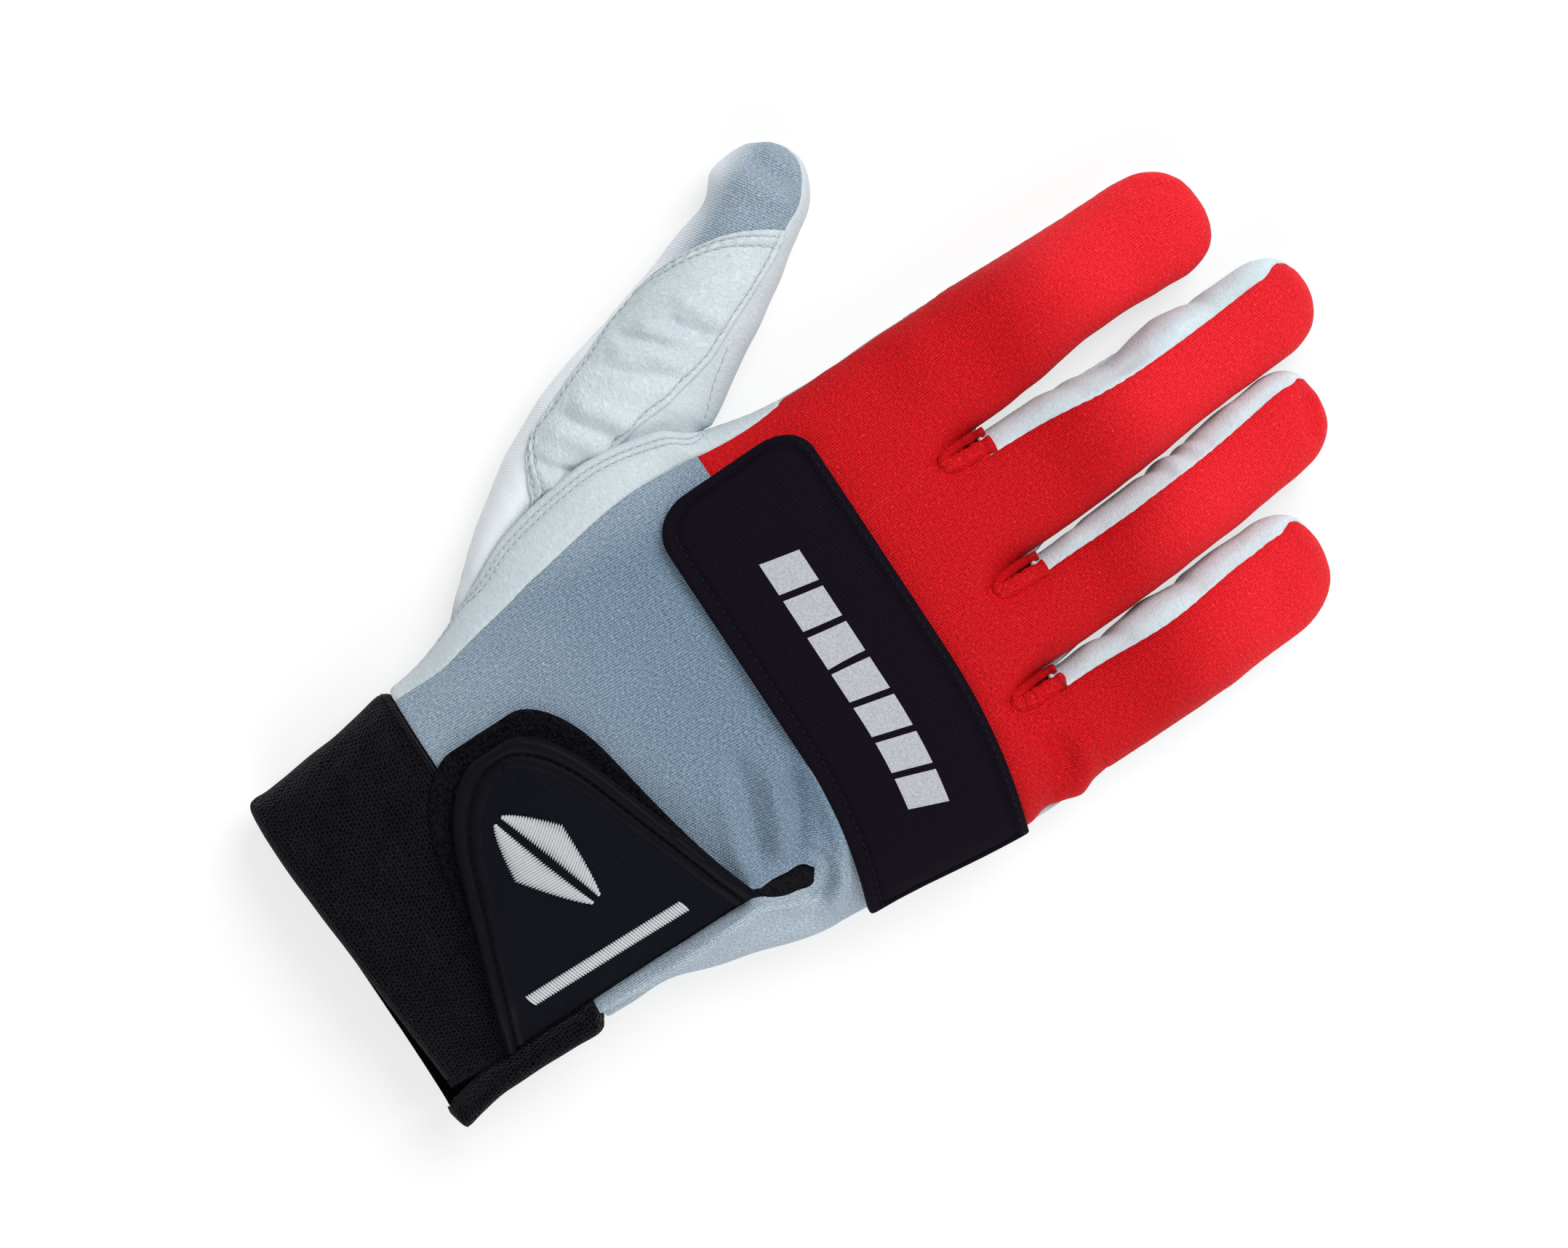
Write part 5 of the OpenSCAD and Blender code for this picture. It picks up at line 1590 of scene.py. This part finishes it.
for side_name, half in (("near", 1), ("far", -1)):
    satin_patch("tab_lozenge_" + side_name, lozenge_threads((9.5, -68.0), (0.95, 0.3), 27.0, 14.0, half))
bar = [((33.0 + 0.02 * s, s), (36.2 + 0.02 * s, s + 0.9)) for s in np.arange(-88.0, -50.0, SATIN_STEP)]
satin_patch("tab_bar", bar)

# Stitches: step, length, radius and thread, then how far they stand out
LEATHER_STITCH = (1.9, 1.35, 0.24, WHITE_THREAD)
STRIP_STITCH = (1.8, 1.3, 0.22, WHITE_THREAD)
for row, *place in OVERLAY_STITCHES:
    line = edge_line("thumb_overlay", *place)
    stitch_row("overlay_" + row, line, *LEATHER_STITCH, 0.08, THUMB_BEND, hole_shade=STITCH_HOLE_SHADE)
for rank, inset in zip(("outer", "inner"), STRIP_STITCH_ROWS):
    line = edge_line("radial_strip", 0, inset, 0.14, 0.84)
    stitch_row("strip_stitch_" + rank, line, *STRIP_STITCH, 0.06, hole_shade=STITCH_HOLE_SHADE)
line = line_on("tab_piping", np.linspace(0.01, 0.99, 300), np.full(300, 2.95 / TAPE_WIDE))
stitch_row("tape_stitch", line, 2.2, 1.7, 0.22, BLACK_THREAD, 0.05, TAB_BEND)
t_line = np.linspace(17, 1, 60)
phi_line = np.interp(t_line, [1, 5, 9, 17], [34, 40, 46, 52])
top_line = overlay_right(t_line) + 5
line = line_on("thumb_front", (top_line - phi_line) / (top_line + 360 - BASE_LOW_EDGE),
               (t_line + BASE_LENGTH) / (BASE_LENGTH + THUMB_END))
stitch_row("crotch_stitch", line, *LEATHER_STITCH, 0.06, THUMB_BEND, hole_shade=STITCH_HOLE_SHADE)
for side_name, edge, inset, start in (("wrist", 2, 3.1, 0.07), ("finger", 3, 1.5, 0.06)):
    line = edge_line("knuckle_band", edge, inset, start, 0.985)
    stitch_row("band_stitch_" + side_name, line, 2.0, 1.4, 0.2, BAND_THREAD, 0.06)
cuff_round = np.linspace(0.02, 0.98, 500)
line = line_on("cuff_elastic", cuff_round, np.full(500, 0.26))
stitch_row("cuff_zigzag", line, 1.7, 2.4, 0.16, BLACK_THREAD, -0.06, sway=0.9)
line = line_on("cuff_elastic", cuff_round, np.full(500, 0.955))
stitch_row("cuff_seam_stitch", line, 2.2, 1.8, 0.2, BLACK_THREAD, 0.05)

# Floor, light and camera
FLOOR_GLOW, FLOOR_HALF, FLOOR_DROP = 0.65, 4.0, 0.0003
BACKDROP_LIGHT, CAMERA_AWAY = 0.42, 1.2
floor_finish = Finish("floor_paper", 0.85, 0.1)
grain = floor_finish.noise(floor_finish.solid(), 0.02, 2)
floor_finish.finish(floor_finish.blend(grain, (0.94, 0.94, 0.94), (0.95, 0.95, 0.95)), grain, 0.01)
ray = floor_finish.node("ShaderNodeLightPath").outputs
seen = floor_finish.add(ray["Is Camera Ray"], ray["Is Glossy Ray"])
seen = floor_finish.add(seen, ray["Is Transmission Ray"])
glow = floor_finish.node("ShaderNodeEmission")
share = floor_finish.node("ShaderNodeMixShader")
floor_finish.feed(share.inputs[0], floor_finish.times(floor_finish.math("MINIMUM", seen, 1.0), FLOOR_GLOW))
floor_finish.feed(share.inputs[1], floor_finish.shader.outputs[0])
floor_finish.feed(share.inputs[2], glow.outputs[0])
floor_finish.feed(floor_finish.tree.nodes["Material Output"].inputs["Surface"], share.outputs[0])
bm = bmesh.new()
bmesh.ops.create_grid(bm, x_segments=2, y_segments=2, size=FLOOR_HALF)
floor = mesh_object("floor", bm, floor_finish.mat)
floor.location.z = -FLOOR_DROP

scene = bpy.context.scene
scene.view_settings.view_transform = "Standard"
world = bpy.data.worlds.new("studio")
scene.world = world
world.use_nodes = True
backdrop = world.node_tree.nodes["Background"]
backdrop.inputs["Color"].default_value = (1, 1, 1, 1)
backdrop.inputs["Strength"].default_value = BACKDROP_LIGHT


def softbox(name, place, size, power):
    lamp = bpy.data.lights.new(name, "AREA")
    lamp.shape = "DISK"
    lamp.size = size
    lamp.energy = power
    obj = bpy.data.objects.new(name, lamp)
    obj.location = place
    obj.rotation_mode = "QUATERNION"
    obj.rotation_quaternion = Vector(place).to_track_quat("Z", "Y")
    scene.collection.objects.link(obj)


softbox("key_light", (-1.3, 2.7, 3.2), 3.0, 165.0)
softbox("fill_light", (2.4, -1.6, 1.8), 3.0, 60.0)

tilt = math.radians(6)
aim = Vector((-2.72, 0.77, 12)) * MM
toward = Vector((-math.sin(tilt), 0, math.cos(tilt)))
right = Vector((0.5534, 0.8329, 0))
right = (right - toward * right.dot(toward)).normalized()
up = toward.cross(right)
camera_data = bpy.data.cameras.new("camera")
camera_data.sensor_width = 36
camera_data.lens = 129.3
camera = bpy.data.objects.new("camera", camera_data)
turned = Matrix((right, up, toward)).transposed().to_4x4()
camera.matrix_world = Matrix.Translation(aim + toward * CAMERA_AWAY) @ turned
scene.collection.objects.link(camera)
scene.camera = camera
